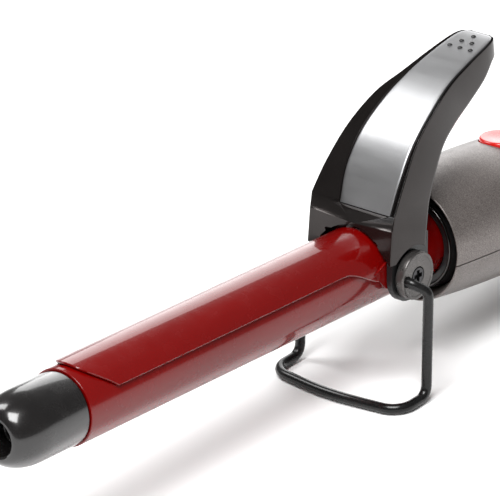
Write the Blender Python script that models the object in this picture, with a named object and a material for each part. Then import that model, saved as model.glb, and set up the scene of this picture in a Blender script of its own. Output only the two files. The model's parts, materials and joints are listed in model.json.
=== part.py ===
"""Curling iron: a heated barrel with a spring clamp, a thumb lever, a folding wire stand and a handle.

Everything is modelled in the iron's own frame, with the pivot axis (Y) crossing the barrel axis (X) at the
origin, the handle towards +X and the lever towards +Z. One empty then pitches the whole iron so that it
rests on its stand and on a flat under the handle's tail, with the table at z = 0.
"""

import math

import bmesh
import bpy
from mathutils import Matrix, Vector

MM = 0.001

# ---- clearances ----
FIT = 0.3 * MM  # between pieces that touch
SPIN = 0.3 * MM  # round a shaft, in its hole

# ---- barrel ----
BARREL_RADIUS = 9.5 * MM
BARREL_WALL = 0.9 * MM
BARREL_FRONT = 112.5 * MM  # from the pivot to the cool tip's seam
BARREL_TAIL = 27.0 * MM  # how far the barrel runs back into the handle

# ---- cool tip ----
TIP_LENGTH = 21.6 * MM
TIP_RADIUS = 9.1 * MM
TIP_ROUND = 9.5 * MM
TIP_HOLE_RADIUS = 4.4 * MM
TIP_HOLE_DEPTH = 7.0 * MM
TIP_SPIGOT = 8.0 * MM
TIP_BORE_RADIUS = 6.3 * MM  # the hollow inside it, open to the barrel

# ---- clamp ----
CLAMP_THICKNESS = 0.7 * MM
CLAMP_EDGE_ANGLE = math.radians(29.0)  # of its long edges, above the horizontal
CLAMP_SETBACK = 2.3 * MM  # from the seam to its front edge, at the top
CLAMP_LIP = 7.5 * MM  # how much further back the front corners lie
CLAMP_FLARE = 14.0 * MM  # the stretch where its sides grow down to the ears
CLAMP_REAR = 4.0 * MM  # from its rear edge to the pivot, over the top of the barrel
EAR_RADIUS = 6.2 * MM

# ---- pivot ----
SCREW_RADIUS = 1.7 * MM
SCREW_HEAD_RADIUS = 2.1 * MM
SCREW_HEAD_HEIGHT = 1.5 * MM
SCREW_GRIP = 5.5 * MM  # thread held in the pivot block
RECESS_ARM = 1.5 * MM
RECESS_WIDTH = 0.55 * MM
RECESS_DEPTH = 0.9 * MM
LINER_RADIUS = 7.0 * MM
LINER_THICKNESS = 1.6 * MM
LINER_HEIGHT = 9.0 * MM
CAP_RADIUS = 6.1 * MM
CAP_THICKNESS = 2.4 * MM
BLOCK_LENGTH = 12.0 * MM
NOTCH_RADIUS = 7.6 * MM

# ---- lever ----
ARCH_CLEARANCE = 0.9 * MM  # between the clamp and the lever's arch
CHEEK_WALL = 1.5 * MM  # outside the liner
LEVER_WALL = 1.9 * MM
LEVER_REACH = 43.5 * MM  # from the pivot back to the lever's end
LEVER_HEIGHT = 46.7 * MM  # from the pivot up to the lever's end
LEVER_SWING = math.radians(25.0)  # how far it tips back to open the clamp
SWING_CLEARANCE = 0.6 * MM  # between the barrel and the lever's rear, tipped back
PLATE_THICKNESS = 0.8 * MM
CHEEK_BOTTOM = 4.5 * MM
GRIP_PIP_RADIUS = 0.55 * MM
GRIP_PIP_HEIGHT = 0.35 * MM
GRIP_PIP_PITCH = 3.2 * MM

# ---- stand ----
WIRE_RADIUS = 1.3 * MM
STAND_SPREAD = 20.0 * MM  # from the iron's middle to each leg
STAND_DROP = 30.4 * MM  # from the pivot down to the foot
STAND_LEAN = 2.7 * MM  # how far each leg's lower end lies in front of the pivot
STAND_REACH = 15.6 * MM  # how far the foot's middle lies in front of the pivot
STAND_BOW = 2.4 * MM  # of the foot, from its corners to its middle
SOCKET_OFFSET = 4.2 * MM  # of the wire's end in its cap
SOCKET_RISE = -5.0  # degrees above level, forward of the pivot

# ---- handle ----
HANDLE_FRONT = 15.5 * MM
HANDLE_BELLY = 42.0 * MM
HANDLE_TAIL = 151.0 * MM
RIM_RADIUS = 15.3 * MM
BELLY_RADIUS = 17.2 * MM
TAIL_RADIUS = 12.4 * MM
TAIL_ROUND = 8.0 * MM
TAIL_END_WALL = 4.5 * MM  # round the cord gland
HANDLE_DROOP = 9.0 * MM
HANDLE_WALL = 2.5 * MM
PARTING_DROP = 2.6 * MM
MOUTH_DEPTH = 4.5 * MM
COLLAR_RADIUS = 13.0 * MM
COLLAR_LENGTH = 11.0 * MM
RING_RADIUS = 11.9 * MM
RING_WIRE = 0.35 * MM
TAIL_FLAT_DEPTH = 0.7 * MM
BOSS_RADIUS = 3.6 * MM
BOSS_PLACES = (35.0 * MM, 124.0 * MM)
HANDLE_SCREW_RADIUS = 1.2 * MM
HANDLE_SCREW_HEAD = 2.3 * MM

# ---- button and board ----
BUTTON_PLACE = 52.0 * MM
BUTTON_RADIUS = 5.2 * MM
BUTTON_PROUD = 1.0 * MM
BUTTON_TRAVEL = 0.8 * MM
BOARD_START = 43.0 * MM
BOARD_END = 96.0 * MM
BOARD_THICKNESS = 1.6 * MM
BOARD_LEVEL = -4.0 * MM
SWITCH_SIZE = 6.0 * MM
SWITCH_HEIGHT = 3.5 * MM
LED_RADIUS = 1.5 * MM
LED_HEIGHT = 5.0 * MM

# ---- cord gland (the cord itself is left out) ----
GLAND_RADIUS = 6.0 * MM
GLAND_FLANGE = 8.0 * MM
GLAND_PROUD = 4.0 * MM
GLAND_BORE = 3.8 * MM
SPINDLE_RADIUS = 3.6 * MM
CONTACT_RADIUS = 4.9 * MM
CONTACT_WIDTH = 1.5 * MM

# ---- heater ----
HEATER_START = 90.0 * MM  # in front of the pivot
HEATER_END = 40.0 * MM
HEATER_WIDTH = 9.0 * MM
HEATER_THICKNESS = 2.4 * MM
INSULATOR_LENGTH = 4.0 * MM
LEAD_RADIUS = 0.6 * MM
LEAD_SPACING = 4.6 * MM
LEAD_LEVEL = 3.8 * MM  # over the pivot screws

# ---- what follows from them ----
BORE_RADIUS = BARREL_RADIUS - BARREL_WALL
CLAMP_INNER = BARREL_RADIUS + FIT
CLAMP_OUTER = CLAMP_INNER + CLAMP_THICKNESS
ARCH_RADIUS = CLAMP_OUTER + ARCH_CLEARANCE
HOLE_RADIUS = SCREW_RADIUS + SPIN
LINER_INNER = CLAMP_OUTER + FIT
LINER_OUTER = LINER_INNER + LINER_THICKNESS
CAP_INNER = LINER_OUTER + FIT
CAP_OUTER = CAP_INNER + CAP_THICKNESS
CHEEK_HALF_WIDTH = LINER_OUTER + FIT + CHEEK_WALL
RIM_HALF_WIDTH = CHEEK_HALF_WIDTH - 1.2 * MM
COLLAR_FRONT = HANDLE_FRONT + 1.2 * MM
TAU = 2 * math.pi
AXES = {"X": Vector((1, 0, 0)), "Y": Vector((0, 1, 0)), "Z": Vector((0, 0, 1))}


# ---- scene and object helpers ----


def clear_scene():
    for obj in list(bpy.data.objects):
        bpy.data.objects.remove(obj, do_unlink=True)


def material(name, colour, metallic=0.0, roughness=0.4):
    """A plain Principled material of this colour."""
    made = bpy.data.materials.new(name)
    made.use_nodes = True
    shader = made.node_tree.nodes["Principled BSDF"]
    shader.inputs["Base Color"].default_value = (*colour, 1.0)
    shader.inputs["Metallic"].default_value = metallic
    shader.inputs["Roughness"].default_value = roughness
    made.diffuse_color = (*colour, 1.0)
    return made


def empty(name, parent=None, location=(0, 0, 0)):
    made = bpy.data.objects.new(name, None)
    made.empty_display_size = 0.01
    made.parent = parent
    made.location = location
    bpy.context.scene.collection.objects.link(made)
    return made


def add_object(name, data, finish, parent, location=(0, 0, 0)):
    made = bpy.data.objects.new(name, data)
    data.materials.append(finish)
    made.parent = parent
    made.location = location
    bpy.context.scene.collection.objects.link(made)
    return made


def finished_mesh(name, shape):
    """The bmesh as a mesh, its doubles merged, its faces outward, and its round sides shaded smooth."""
    bmesh.ops.remove_doubles(shape, verts=shape.verts, dist=1e-6)
    bmesh.ops.recalc_face_normals(shape, faces=shape.faces)
    if shape.calc_volume(signed=True) < 0:
        bmesh.ops.reverse_faces(shape, faces=shape.faces)
    mesh = bpy.data.meshes.new(name)
    shape.to_mesh(mesh)
    shape.free()
    mesh.shade_smooth()
    mesh.set_sharp_from_angle(angle=math.radians(32))
    return mesh


def turned(name, profile, axis="X", steps=32):
    """A closed outline of (along, radius) points, spun about the axis."""
    side = Vector((0, 0, 1)) if axis == "X" else Vector((1, 0, 0))
    shape = bmesh.new()
    ring = [shape.verts.new(AXES[axis] * along + side * radius) for along, radius in profile]
    edges = [shape.edges.new((a, b)) for a, b in zip(ring, ring[1:] + ring[:1])]
    edges = [edge for edge in edges if edge.calc_length() > 0]
    bmesh.ops.spin(
        shape, geom=ring + edges, cent=(0, 0, 0), axis=AXES[axis], angle=TAU, steps=steps, use_merge=True
    )
    on_axis = [e for e in shape.edges if e.calc_length() > 1e-9 and e.is_wire]
    bmesh.ops.delete(shape, geom=on_axis, context="EDGES")
    return finished_mesh(name, shape)


def lofted(name, rings):
    """Skins a row of rings, each a closed outline with the same number of points."""
    shape = bmesh.new()
    rows = [[shape.verts.new(point) for point in ring] for ring in rings]
    for row, following in zip(rows, rows[1:]):
        for i in range(len(row)):
            j = (i + 1) % len(row)
            shape.faces.new((row[i], row[j], following[j], following[i]))
    shape.faces.new(rows[0][::-1])
    shape.faces.new(rows[-1])
    return finished_mesh(name, shape)


def extruded(name, outline, axis, start, end):
    """An outline in the plane across the axis, as its two other coordinates in X, Y, Z order, extruded."""
    places = {
        "X": lambda a, b, t: (t, a, b),
        "Y": lambda a, b, t: (a, t, b),
        "Z": lambda a, b, t: (a, b, t),
    }
    place = places[axis]
    return lofted(name, [[place(a, b, t) for a, b in outline] for t in (start, end)])


def block(name, low, high):
    outline = [(low[0], low[1]), (high[0], low[1]), (high[0], high[1]), (low[0], high[1])]
    return extruded(name, outline, "Z", low[2], high[2])


def rod(name, axis, start, end, radius, steps=32):
    """A plain cylinder along the axis."""
    outline = [
        (radius * math.cos(TAU * k / steps), radius * math.sin(TAU * k / steps)) for k in range(steps)
    ]
    return extruded(name, outline, axis, start, end)


def combine(target, tool_mesh, operation="DIFFERENCE", location=(0, 0, 0), solver="EXACT"):
    """Cuts the mesh out of the object, or joins it on, with a hidden helper that rides with the object."""
    helper = bpy.data.objects.new("helper_" + tool_mesh.name, tool_mesh)
    helper.hide_render = True
    helper.display_type = "WIRE"
    helper.parent = target.parent
    helper.location = Vector(target.location) + Vector(location)
    bpy.context.scene.collection.objects.link(helper)
    modifier = target.modifiers.new(tool_mesh.name, "BOOLEAN")
    modifier.operation = operation
    modifier.solver = solver
    modifier.object = helper
    return helper


def rounded_path(corners, radii, arc_points=6):
    """A route through the corners, each replaced by an arc of its radius."""
    points = [Vector(corners[0])]
    for before, corner, after, radius in zip(corners, corners[1:], corners[2:], radii):
        here = Vector(corner)
        back = (Vector(before) - here).normalized()
        ahead = (Vector(after) - here).normalized()
        half = back.angle(ahead) / 2
        centre = here + (back + ahead).normalized() * (radius / math.sin(half))
        arm = here + back * (radius / math.tan(half)) - centre
        turn_axis = back.cross(ahead).normalized()
        sweep = -(math.pi - 2 * half)
        for k in range(arc_points + 1):
            points.append(centre + Matrix.Rotation(sweep * k / arc_points, 3, turn_axis) @ arm)
    points.append(Vector(corners[-1]))
    return points


def wire(name, points, radius, finish, parent, roundness=2):
    """A round wire along the points, with closed ends."""
    curve = bpy.data.curves.new(name, "CURVE")
    curve.dimensions = "3D"
    curve.bevel_depth = radius
    curve.bevel_resolution = roundness
    curve.use_fill_caps = True
    spline = curve.splines.new("POLY")
    spline.points.add(len(points) - 1)
    for point, place in zip(spline.points, points):
        point.co = (*place, 1.0)
    return add_object(name, curve, finish, parent)


def smooth(t):
    """0 to 1 with level ends."""
    t = min(1.0, max(0.0, t))
    return t * t * (3 - 2 * t)


# ---- barrel, tip and heater ----


def build_barrel(root, finish):
    front, tail = -BARREL_FRONT, BARREL_TAIL
    profile = [(front, BARREL_RADIUS), (tail, BARREL_RADIUS), (tail, BORE_RADIUS), (front, BORE_RADIUS)]
    barrel = add_object("barrel_tube", turned("barrel_tube", profile, steps=48), finish, root)
    combine(barrel, rod("barrel_pivot_holes", "Y", -2 * BARREL_RADIUS, 2 * BARREL_RADIUS, HOLE_RADIUS, 16))
    return barrel


def build_tip(root, finish):
    """A hollow cap with a spigot in the barrel, its end rounded in to a blind hole."""
    seam = -BARREL_FRONT - FIT
    nose = seam - TIP_LENGTH
    spigot = BORE_RADIUS - FIT
    rim = TIP_HOLE_RADIUS + 0.5 * MM
    arc = [
        (nose + TIP_ROUND * (1 - math.cos(a)), rim + (TIP_RADIUS - rim) * math.sin(a))
        for a in (math.radians(15 * k) for k in range(7))
    ]
    profile = [(nose + TIP_HOLE_DEPTH, 0), (nose + TIP_HOLE_DEPTH, TIP_HOLE_RADIUS), (nose, TIP_HOLE_RADIUS)]
    profile += arc
    inside = nose + TIP_HOLE_DEPTH + 2 * MM
    profile += [(seam, TIP_RADIUS), (seam, spigot), (seam + TIP_SPIGOT, spigot)]
    profile += [(seam + TIP_SPIGOT, TIP_BORE_RADIUS), (inside, TIP_BORE_RADIUS), (inside, 0)]
    return add_object("cool_tip", turned("cool_tip", profile, steps=48), finish, root)


def build_heater(root, finishes):
    """A flat heating plate between two half-round blocks, centred in the barrel by two ceramic rings."""
    radius = BORE_RADIUS - FIT
    half_gap = HEATER_THICKNESS / 2 + FIT
    start, end = -HEATER_START, -HEATER_END
    low = math.asin(half_gap / radius)
    for side, name in ((1, "heater_block_upper"), (-1, "heater_block_lower")):
        angles = [low + (math.pi - 2 * low) * k / 12 for k in range(13)]
        outline = [(radius * math.cos(a), side * radius * math.sin(a)) for a in angles]
        add_object(name, extruded(name, outline, "X", start, end), finishes["aluminium"], root)
    plate = HEATER_THICKNESS / 2
    low_corner = (start + 2 * MM, -HEATER_WIDTH / 2, -plate)
    high_corner = (end - 2 * MM, HEATER_WIDTH / 2, plate)
    add_object("heater_core", block("heater_core", low_corner, high_corner), finishes["ceramic"], root)
    for name, place in (("front_insulator", start - FIT - INSULATOR_LENGTH), ("rear_insulator", end + FIT)):
        body = rod(name, "X", place, place + INSULATOR_LENGTH, radius)
        ring = add_object(name, body, finishes["ceramic"], root)
        if name == "rear_insulator":
            for side in (1, -1):
                ends = (place - 5 * MM, place + 10 * MM)
                hole = rod(f"insulator_hole_{side}", "X", *ends, LEAD_RADIUS + FIT, 12)
                combine(ring, hole, location=(0, side * LEAD_SPACING, 0))
    rear = end + FIT + INSULATOR_LENGTH + FIT
    fuse = rod("thermal_fuse", "X", 0, 9 * MM, 1.9 * MM, 16)
    add_object("thermal_fuse", fuse, finishes["steel"], root, (rear, 0, 4.2 * MM))
    sensor = rod("temperature_sensor", "X", 0, 4 * MM, 1.2 * MM, 12)
    add_object("temperature_sensor", sensor, finishes["glass"], root, (rear, 0, -4.2 * MM))


def build_leads(root, finish):
    """Two wires from the heating plate, through the insulator and the pivot block, to the board."""
    start = -HEATER_END - 1.2 * MM
    level = BOARD_LEVEL + BOARD_THICKNESS + LEAD_RADIUS + FIT
    for side, name in ((1, "heater_lead_live"), (-1, "heater_lead_neutral")):
        y = side * LEAD_SPACING
        corners = [
            (start + 0.8 * MM, y, 0),
            (start + 9 * MM, y, 0),
            (start + 17 * MM, y, LEAD_LEVEL),
            (BARREL_TAIL - 5 * MM, y, LEAD_LEVEL),
            (BOARD_START - 4 * MM, y, level),
            (BOARD_START + 5 * MM, y, level),
        ]
        wire(name, rounded_path(corners, (5 * MM,) * 4, 4), LEAD_RADIUS, finish, root, 1)


# ---- clamp ----


def clamp_edge_angle(x):
    """The lower edge's angle above the horizontal: level, then down to the ears over the flare."""
    flare_end = -CLAMP_REAR - 3 * MM
    return CLAMP_EDGE_ANGLE * (1 - smooth((x - (flare_end - CLAMP_FLARE)) / CLAMP_FLARE))


def clamp_ring(x, columns=18):
    """The clamp's cross section at x, its front edge bowed back towards its two corners."""
    front = -BARREL_FRONT + CLAMP_SETBACK
    fade = max(0.0, 1 - (x - front) / (18 * MM)) ** 2
    low = clamp_edge_angle(x)
    angles = [low + (math.pi - 2 * low) * k / columns for k in range(columns + 1)]
    bow = [CLAMP_LIP * fade * abs(math.cos(a) / math.cos(CLAMP_EDGE_ANGLE)) ** 2.6 for a in angles]
    outer = [(x + b, CLAMP_OUTER * math.cos(a), CLAMP_OUTER * math.sin(a)) for a, b in zip(angles, bow)]
    inner = [(x + b, CLAMP_INNER * math.cos(a), CLAMP_INNER * math.sin(a)) for a, b in zip(angles, bow)]
    return outer + inner[::-1]


def build_clamp(lever, finish):
    """A thin trough over the barrel, with two flat ears that reach the pivot."""
    front = -BARREL_FRONT + CLAMP_SETBACK
    rear = -CLAMP_REAR
    flare = rear - 3 * MM - CLAMP_FLARE
    stations = [front + 18 * MM * k / 6 for k in range(7)] + [flare - 30 * MM]
    stations += [flare + (rear - flare) * k / 6 for k in range(7)]
    clamp = add_object("clamp_plate", lofted("clamp_plate", [clamp_ring(x) for x in stations]), finish, lever)
    ear = [(-EAR_RADIUS - 5 * MM, 2.5 * MM), (-EAR_RADIUS - 1 * MM, -2 * MM)]
    for k in range(13):
        a = math.radians(-150 + 18 * k)
        ear.append((EAR_RADIUS * math.cos(a), EAR_RADIUS * math.sin(a)))
    for side, name in ((1, "left"), (-1, "right")):
        inner, outer = side * CLAMP_INNER, side * (CLAMP_OUTER)
        flat = extruded(f"clamp_ear_{name}", ear, "Y", min(inner, outer), max(inner, outer))
        combine(clamp, flat, "UNION")
    combine(clamp, rod("clamp_pivot_holes", "Y", -2 * CLAMP_OUTER, 2 * CLAMP_OUTER, HOLE_RADIUS, 16))
    return clamp


# ---- lever ----


def lever_stations():
    """Down the lever from base to end: front rim and plate (x, z, half width), then underside (x, z).

    The base follows the arch over the clamp. Above it the shape is drawn as shares of the lever's reach and
    of its rise over the crease where the plate starts.
    """
    crease = ARCH_RADIUS + 3.0 * MM
    rise = LEVER_HEIGHT - crease
    wide = CHEEK_HALF_WIDTH
    rim = RIM_HALF_WIDTH
    low = (
        (-8.5 * MM, CHEEK_BOTTOM, rim),
        (-7.0 * MM, CHEEK_BOTTOM, ARCH_RADIUS - 0.6 * MM),
        (4.6 * MM, CHEEK_BOTTOM, wide),
    )
    apex = (
        (-7.6 * MM, ARCH_RADIUS + 1.8 * MM, rim),
        (-6.8 * MM, ARCH_RADIUS + 0.8 * MM, 0.5 * MM),
        (5.0 * MM, 10.5 * MM, wide),
    )
    base = (
        (-6.9 * MM, crease + 2.8 * MM, rim),
        (-2.3 * MM, crease, 0.62 * rim),
        (7.2 * MM, 16.5 * MM, 0.92 * wide),
    )

    def upper(rim_place, plate_place, under_place, widths):
        """Shares of the reach and the rise, and of the rim's half width."""
        places = [(LEVER_REACH * x, crease + rise * z) for x, z in (rim_place, plate_place, under_place)]
        return tuple((*place, rim * width) for place, width in zip(places, widths))

    return [
        low,
        apex,
        base,
        upper((-0.055, 0.30), (0.018, 0.255), (0.225, 0.215), (0.94, 0.66, 0.96)),
        upper((0.100, 0.548), (0.142, 0.495), (0.352, 0.42), (0.835, 0.635, 0.84)),
        upper((0.306, 0.740), (0.328, 0.694), (0.505, 0.535), (0.73, 0.585, 0.73)),
        upper((0.503, 0.847), (0.510, 0.833), (0.692, 0.628), (0.595, 0.515, 0.605)),
        upper((0.70, 0.932), (0.70, 0.925), (0.845, 0.735), (0.525, 0.475, 0.535)),
        upper((0.89, 1.000), (0.89, 0.995), (0.928, 0.825), (0.465, 0.430, 0.47)),
        upper((0.968, 1.02), (0.968, 1.015), (0.985, 0.86), (0.38, 0.35, 0.385)),
        upper((0.998, 1.018), (0.998, 1.013), (1.003, 0.885), (0.22, 0.19, 0.225)),
    ]


def between(first, second, t):
    return tuple(tuple(a + (b - a) * t for a, b in zip(p, q)) for p, q in zip(first, second))


def eased(before, first, second, after, t):
    """A point of the smooth curve through the four stations, between the middle two."""
    return tuple(
        tuple(
            0.5 * (2 * b + (c - a) * t + (2 * a - 5 * b + 4 * c - d) * t * t + (3 * b - a - 3 * c + d) * t**3)
            for a, b, c, d in zip(p, q, r, s)
        )
        for p, q, r, s in zip(before, first, second, after)
    )


def fine_stations(first=2, steps=3):
    """The stations from the crease on, with smooth ones between them."""
    rough = lever_stations()
    rows = rough[first:]
    fine = []
    for i in range(len(rows) - 1):
        before = rows[max(0, i - 1)]
        after = rows[min(len(rows) - 1, i + 2)]
        fine += [eased(before, rows[i], rows[i + 1], after, k / steps) for k in range(steps)]
    return fine + [rows[-1]]


def lever_ring(station, lower=0.0, narrow=0.0, reach=0.0):
    """A six-cornered cross section, its plate lowered, its sides narrowed and its underside moved outward."""
    (rx, rz, rw), (px, pz, pw), (ux, uz, uw) = station
    inward = Vector((ux - rx, 0, uz - rz)).normalized()
    plate = Vector((px, 0, pz)) + inward * lower
    rim = Vector((rx, 0, rz)) + inward * lower
    under = Vector((ux, 0, uz)) + inward * reach
    outer = [(plate, pw - narrow * 0.6), (rim, rw - narrow), (under, uw - narrow)]
    left = [(point.x, width, point.z) for point, width in outer]
    return left + [(x, -y, z) for x, y, z in left[::-1]]


def build_lever_shell(lever, finish):
    rough = lever_stations()
    seat = PLATE_THICKNESS + FIT
    rings = [lever_ring(rough[0]), lever_ring(rough[1])]
    rings += [lever_ring_seated(station, seat) for station in fine_stations()]
    shell = add_object("lever_shell", lofted("lever_shell", rings), finish, lever)
    first = fine_stations()[0]
    sunk_base = tuple((x, z - 4 * MM, width) for x, z, width in first)
    hollow_rows = [sunk_base] + fine_stations()[:-4]
    hollow = [lever_ring(s, seat + LEVER_WALL, LEVER_WALL, 5 * MM) for s in hollow_rows]
    notch_reach = 2 * CHEEK_HALF_WIDTH
    combine(shell, lofted("lever_hollow", hollow), solver="MANIFOLD")
    combine(shell, rod("lever_arch", "X", -30 * MM, 30 * MM, ARCH_RADIUS, 48), solver="MANIFOLD")
    swept = rod("lever_swing", "X", 0, 30 * MM, BARREL_RADIUS + SWING_CLEARANCE, 48)
    helper = combine(shell, swept, solver="MANIFOLD")
    helper.rotation_euler = (0, -LEVER_SWING, 0)
    combine(shell, rod("lever_notch", "Y", -notch_reach, notch_reach, NOTCH_RADIUS), solver="MANIFOLD")
    side = LINER_OUTER + FIT
    pocket = block(
        "liner_pocket", (-LINER_RADIUS - FIT, -side, 0), (20 * MM, side, LINER_HEIGHT + FIT)
    )
    combine(shell, pocket, solver="MANIFOLD")
    return shell


def lever_ring_seated(station, seat):
    """The shell's cross section, with its plate seat sunk by the plate's thickness."""
    (rx, rz, rw), (px, pz, pw), (ux, uz, uw) = station
    inward = Vector((ux - rx, 0, uz - rz)).normalized() * seat
    sunk = ((rx, rz, rw), (px + inward.x, pz + inward.z, pw), (ux, uz, uw))
    return lever_ring(sunk)


def build_top_plate(lever, finish):
    """The bright plate that lies in the lever's recess, with six grip pips at its end."""
    rings = []
    for (rx, rz, _), (px, pz, pw), (ux, uz, _) in fine_stations()[:-1]:
        inward = Vector((ux - rx, 0, uz - rz)).normalized() * PLATE_THICKNESS
        width = pw - FIT
        rings.append(
            [
                (px, width, pz),
                (px + inward.x, width, pz + inward.z),
                (px + inward.x, -width, pz + inward.z),
                (px, -width, pz),
            ]
        )
    plate = add_object("lever_top_plate", lofted("lever_top_plate", rings), finish, lever)
    first, last = fine_stations()[-12][1], fine_stations()[-4][1]
    slope = math.atan2(last[1] - first[1], last[0] - first[0])
    for row, count in ((0, 1), (1, 2), (2, 3)):
        for k in range(count):
            x = last[0] - 1.2 * MM - row * 0.85 * GRIP_PIP_PITCH
            z = last[1] - (last[0] - x) * math.tan(slope) * 0.62
            y = (k - (count - 1) / 2) * GRIP_PIP_PITCH
            pip = rod(f"grip_pip_{row}_{k}", "Z", -0.5 * MM, GRIP_PIP_HEIGHT, GRIP_PIP_RADIUS, 10)
            combine(plate, pip, "UNION", location=(x, y, z))
    return plate


def build_liners(lever, finish):
    """Flat ears between the lever's cheeks and the clamp, round the pivot."""
    for side, name in ((1, "lever_liner_left"), (-1, "lever_liner_right")):
        outline = [(LINER_RADIUS, LINER_HEIGHT), (-LINER_RADIUS, LINER_HEIGHT)]
        for k in range(17):
            a = math.pi + math.pi * k / 16
            outline.append((LINER_RADIUS * math.cos(a), LINER_RADIUS * math.sin(a)))
        faces = sorted((side * LINER_INNER, side * LINER_OUTER))
        ear = add_object(name, extruded(name, outline, "Y", *faces), finish, lever)
        combine(ear, rod(name + "_hole", "Y", -30 * MM, 30 * MM, HOLE_RADIUS, 16))


def build_spring(lever, finish):
    """A bent leaf from under the lever down to the top of the barrel."""
    top = BARREL_RADIUS + FIT
    middle = [(10.0, 0.15), (7.0, 0.9), (5.0, 3.0), (4.3, 5.6), (4.4, 8.4), (4.9, 10.8)]
    middle = [Vector((x * MM, 0, top + z * MM + 0.25 * MM)) for x, z in middle]
    upper, lower = [], []
    for before, here, after in zip(middle[:1] + middle, middle, middle[1:] + middle[-1:]):
        along = (after - before).normalized()
        normal = Vector((-along.z, 0, along.x)) * 0.2 * MM
        upper.append((here.x + normal.x, here.z + normal.z))
        lower.append((here.x - normal.x, here.z - normal.z))
    leaf = extruded("lever_spring", upper + lower[::-1], "Y", -2.5 * MM, 2.5 * MM)
    add_object("lever_spring", leaf, finish, lever)


# ---- pivot and stand ----


def build_pivot(root, finishes):
    """A block in the barrel takes a cross-recess screw from each side."""
    half = BLOCK_LENGTH / 2
    body = rod("pivot_block", "X", -half, half, BORE_RADIUS - FIT)
    pivot = add_object("pivot_block", body, finishes["steel"], root)
    for side, name in ((1, "left"), (-1, "right")):
        depth = BORE_RADIUS - SCREW_GRIP - FIT
        bore = sorted((side * depth, side * 2 * BORE_RADIUS))
        combine(pivot, rod(f"pivot_bore_{name}", "Y", *bore, HOLE_RADIUS, 16))
        face = CAP_OUTER - 0.1 * MM
        head = face - SCREW_HEAD_HEIGHT
        end = BORE_RADIUS - SCREW_GRIP
        profile = [
            (side * end, 0),
            (side * end, SCREW_RADIUS),
            (side * head, SCREW_RADIUS),
            (side * head, SCREW_HEAD_RADIUS),
            (side * face, SCREW_HEAD_RADIUS),
            (side * face, 0),
        ]
        screw_name = f"pivot_screw_{name}"
        screw = add_object(screw_name, turned(screw_name, profile, "Y", 24), finishes["dark_steel"], root)
        for arm, size in (("a", (RECESS_ARM, RECESS_WIDTH)), ("b", (RECESS_WIDTH, RECESS_ARM))):
            low, high = sorted((side * (face - RECESS_DEPTH), side * (face + RECESS_DEPTH)))
            slot = block(f"recess_{name}_{arm}", (-size[0], low, -size[1]), (size[0], high, size[1]))
            combine(screw, slot)
    for side in (1, -1):
        hole = rod(f"lead_way_{side}", "X", -20 * MM, 20 * MM, LEAD_RADIUS + FIT, 12)
        combine(pivot, hole, location=(0, side * LEAD_SPACING, LEAD_LEVEL))


def stand_route():
    """Out of one cap, down a leg, forward and across in a bowed foot that lies flat, and up the other leg."""
    rise = math.radians(SOCKET_RISE)
    socket = Vector((-SOCKET_OFFSET * math.cos(rise), 0, SOCKET_OFFSET * math.sin(rise)))
    slope = table_slope()
    front = -STAND_REACH
    corner = front + STAND_BOW

    def foot(x):
        return -STAND_DROP + slope * (x - front)

    half = [
        (socket.x, CAP_INNER + 0.9 * MM, socket.z),
        (socket.x, CAP_OUTER + 1.2 * MM, socket.z),
        (-1.8 * MM, STAND_SPREAD - 0.4 * MM, socket.z - 2.0 * MM),
        (-STAND_LEAN, STAND_SPREAD, foot(-STAND_LEAN)),
        (corner, STAND_SPREAD, foot(corner)),
    ]
    other = [(x, -y, z) for x, y, z in half[::-1]]
    bends = (1.5 * MM, 2.4 * MM, 3.0 * MM, 5.5 * MM)
    radii = bends + (60 * MM,) + bends[::-1]
    return rounded_path(half + [(front, 0, foot(front))] + other, radii)


def build_stand(stand, finishes):
    wire("stand_wire", stand_route(), WIRE_RADIUS, finishes["wire"], stand, 3)
    angle = math.radians(180 - SOCKET_RISE)
    for side, name in ((1, "pivot_cap_left"), (-1, "pivot_cap_right")):
        edge = 0.5 * MM
        seat = CAP_OUTER - 0.1 * MM - SCREW_HEAD_HEIGHT - FIT
        profile = [
            (side * CAP_INNER, HOLE_RADIUS),
            (side * CAP_INNER, CAP_RADIUS),
            (side * (CAP_OUTER - edge), CAP_RADIUS),
            (side * CAP_OUTER, CAP_RADIUS - edge),
            (side * CAP_OUTER, SCREW_HEAD_RADIUS + FIT),
            (side * seat, SCREW_HEAD_RADIUS + FIT),
            (side * seat, HOLE_RADIUS),
        ]
        cap = add_object(name, turned(name, profile, "Y", 32), finishes["black"], stand)
        depth = sorted((side * (CAP_INNER + 0.6 * MM), side * (CAP_OUTER + 5 * MM)))
        socket = rod(name + "_socket", "Y", *depth, WIRE_RADIUS + 0.25 * MM, 16)
        place = (SOCKET_OFFSET * math.cos(angle), 0, SOCKET_OFFSET * math.sin(angle))
        combine(cap, socket, location=place)


# ---- handle ----


def handle_centre(x):
    """Height of the handle's centre line, level at the barrel and again at the tail."""
    return -HANDLE_DROOP * smooth((x - 30 * MM) / (HANDLE_TAIL - 50 * MM))


def handle_radius(x):
    """Outer radius: from the rim out to the belly, in to the tail, and rounded off at the end."""
    if x < HANDLE_BELLY:
        swell = math.sin(math.pi / 2 * (x - HANDLE_FRONT) / (HANDLE_BELLY - HANDLE_FRONT))
        return RIM_RADIUS + (BELLY_RADIUS - RIM_RADIUS) * swell
    taper = smooth((x - HANDLE_BELLY - 18 * MM) / (HANDLE_TAIL - HANDLE_BELLY - 30 * MM))
    radius = BELLY_RADIUS + (TAIL_RADIUS - BELLY_RADIUS) * taper
    over = (x - (HANDLE_TAIL - TAIL_ROUND)) / TAIL_ROUND
    if over > 0:
        end = GLAND_RADIUS + 1.6 * MM
        radius = end + (radius - end) * math.sqrt(max(0.0, 1 - over * over))
    return radius


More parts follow.
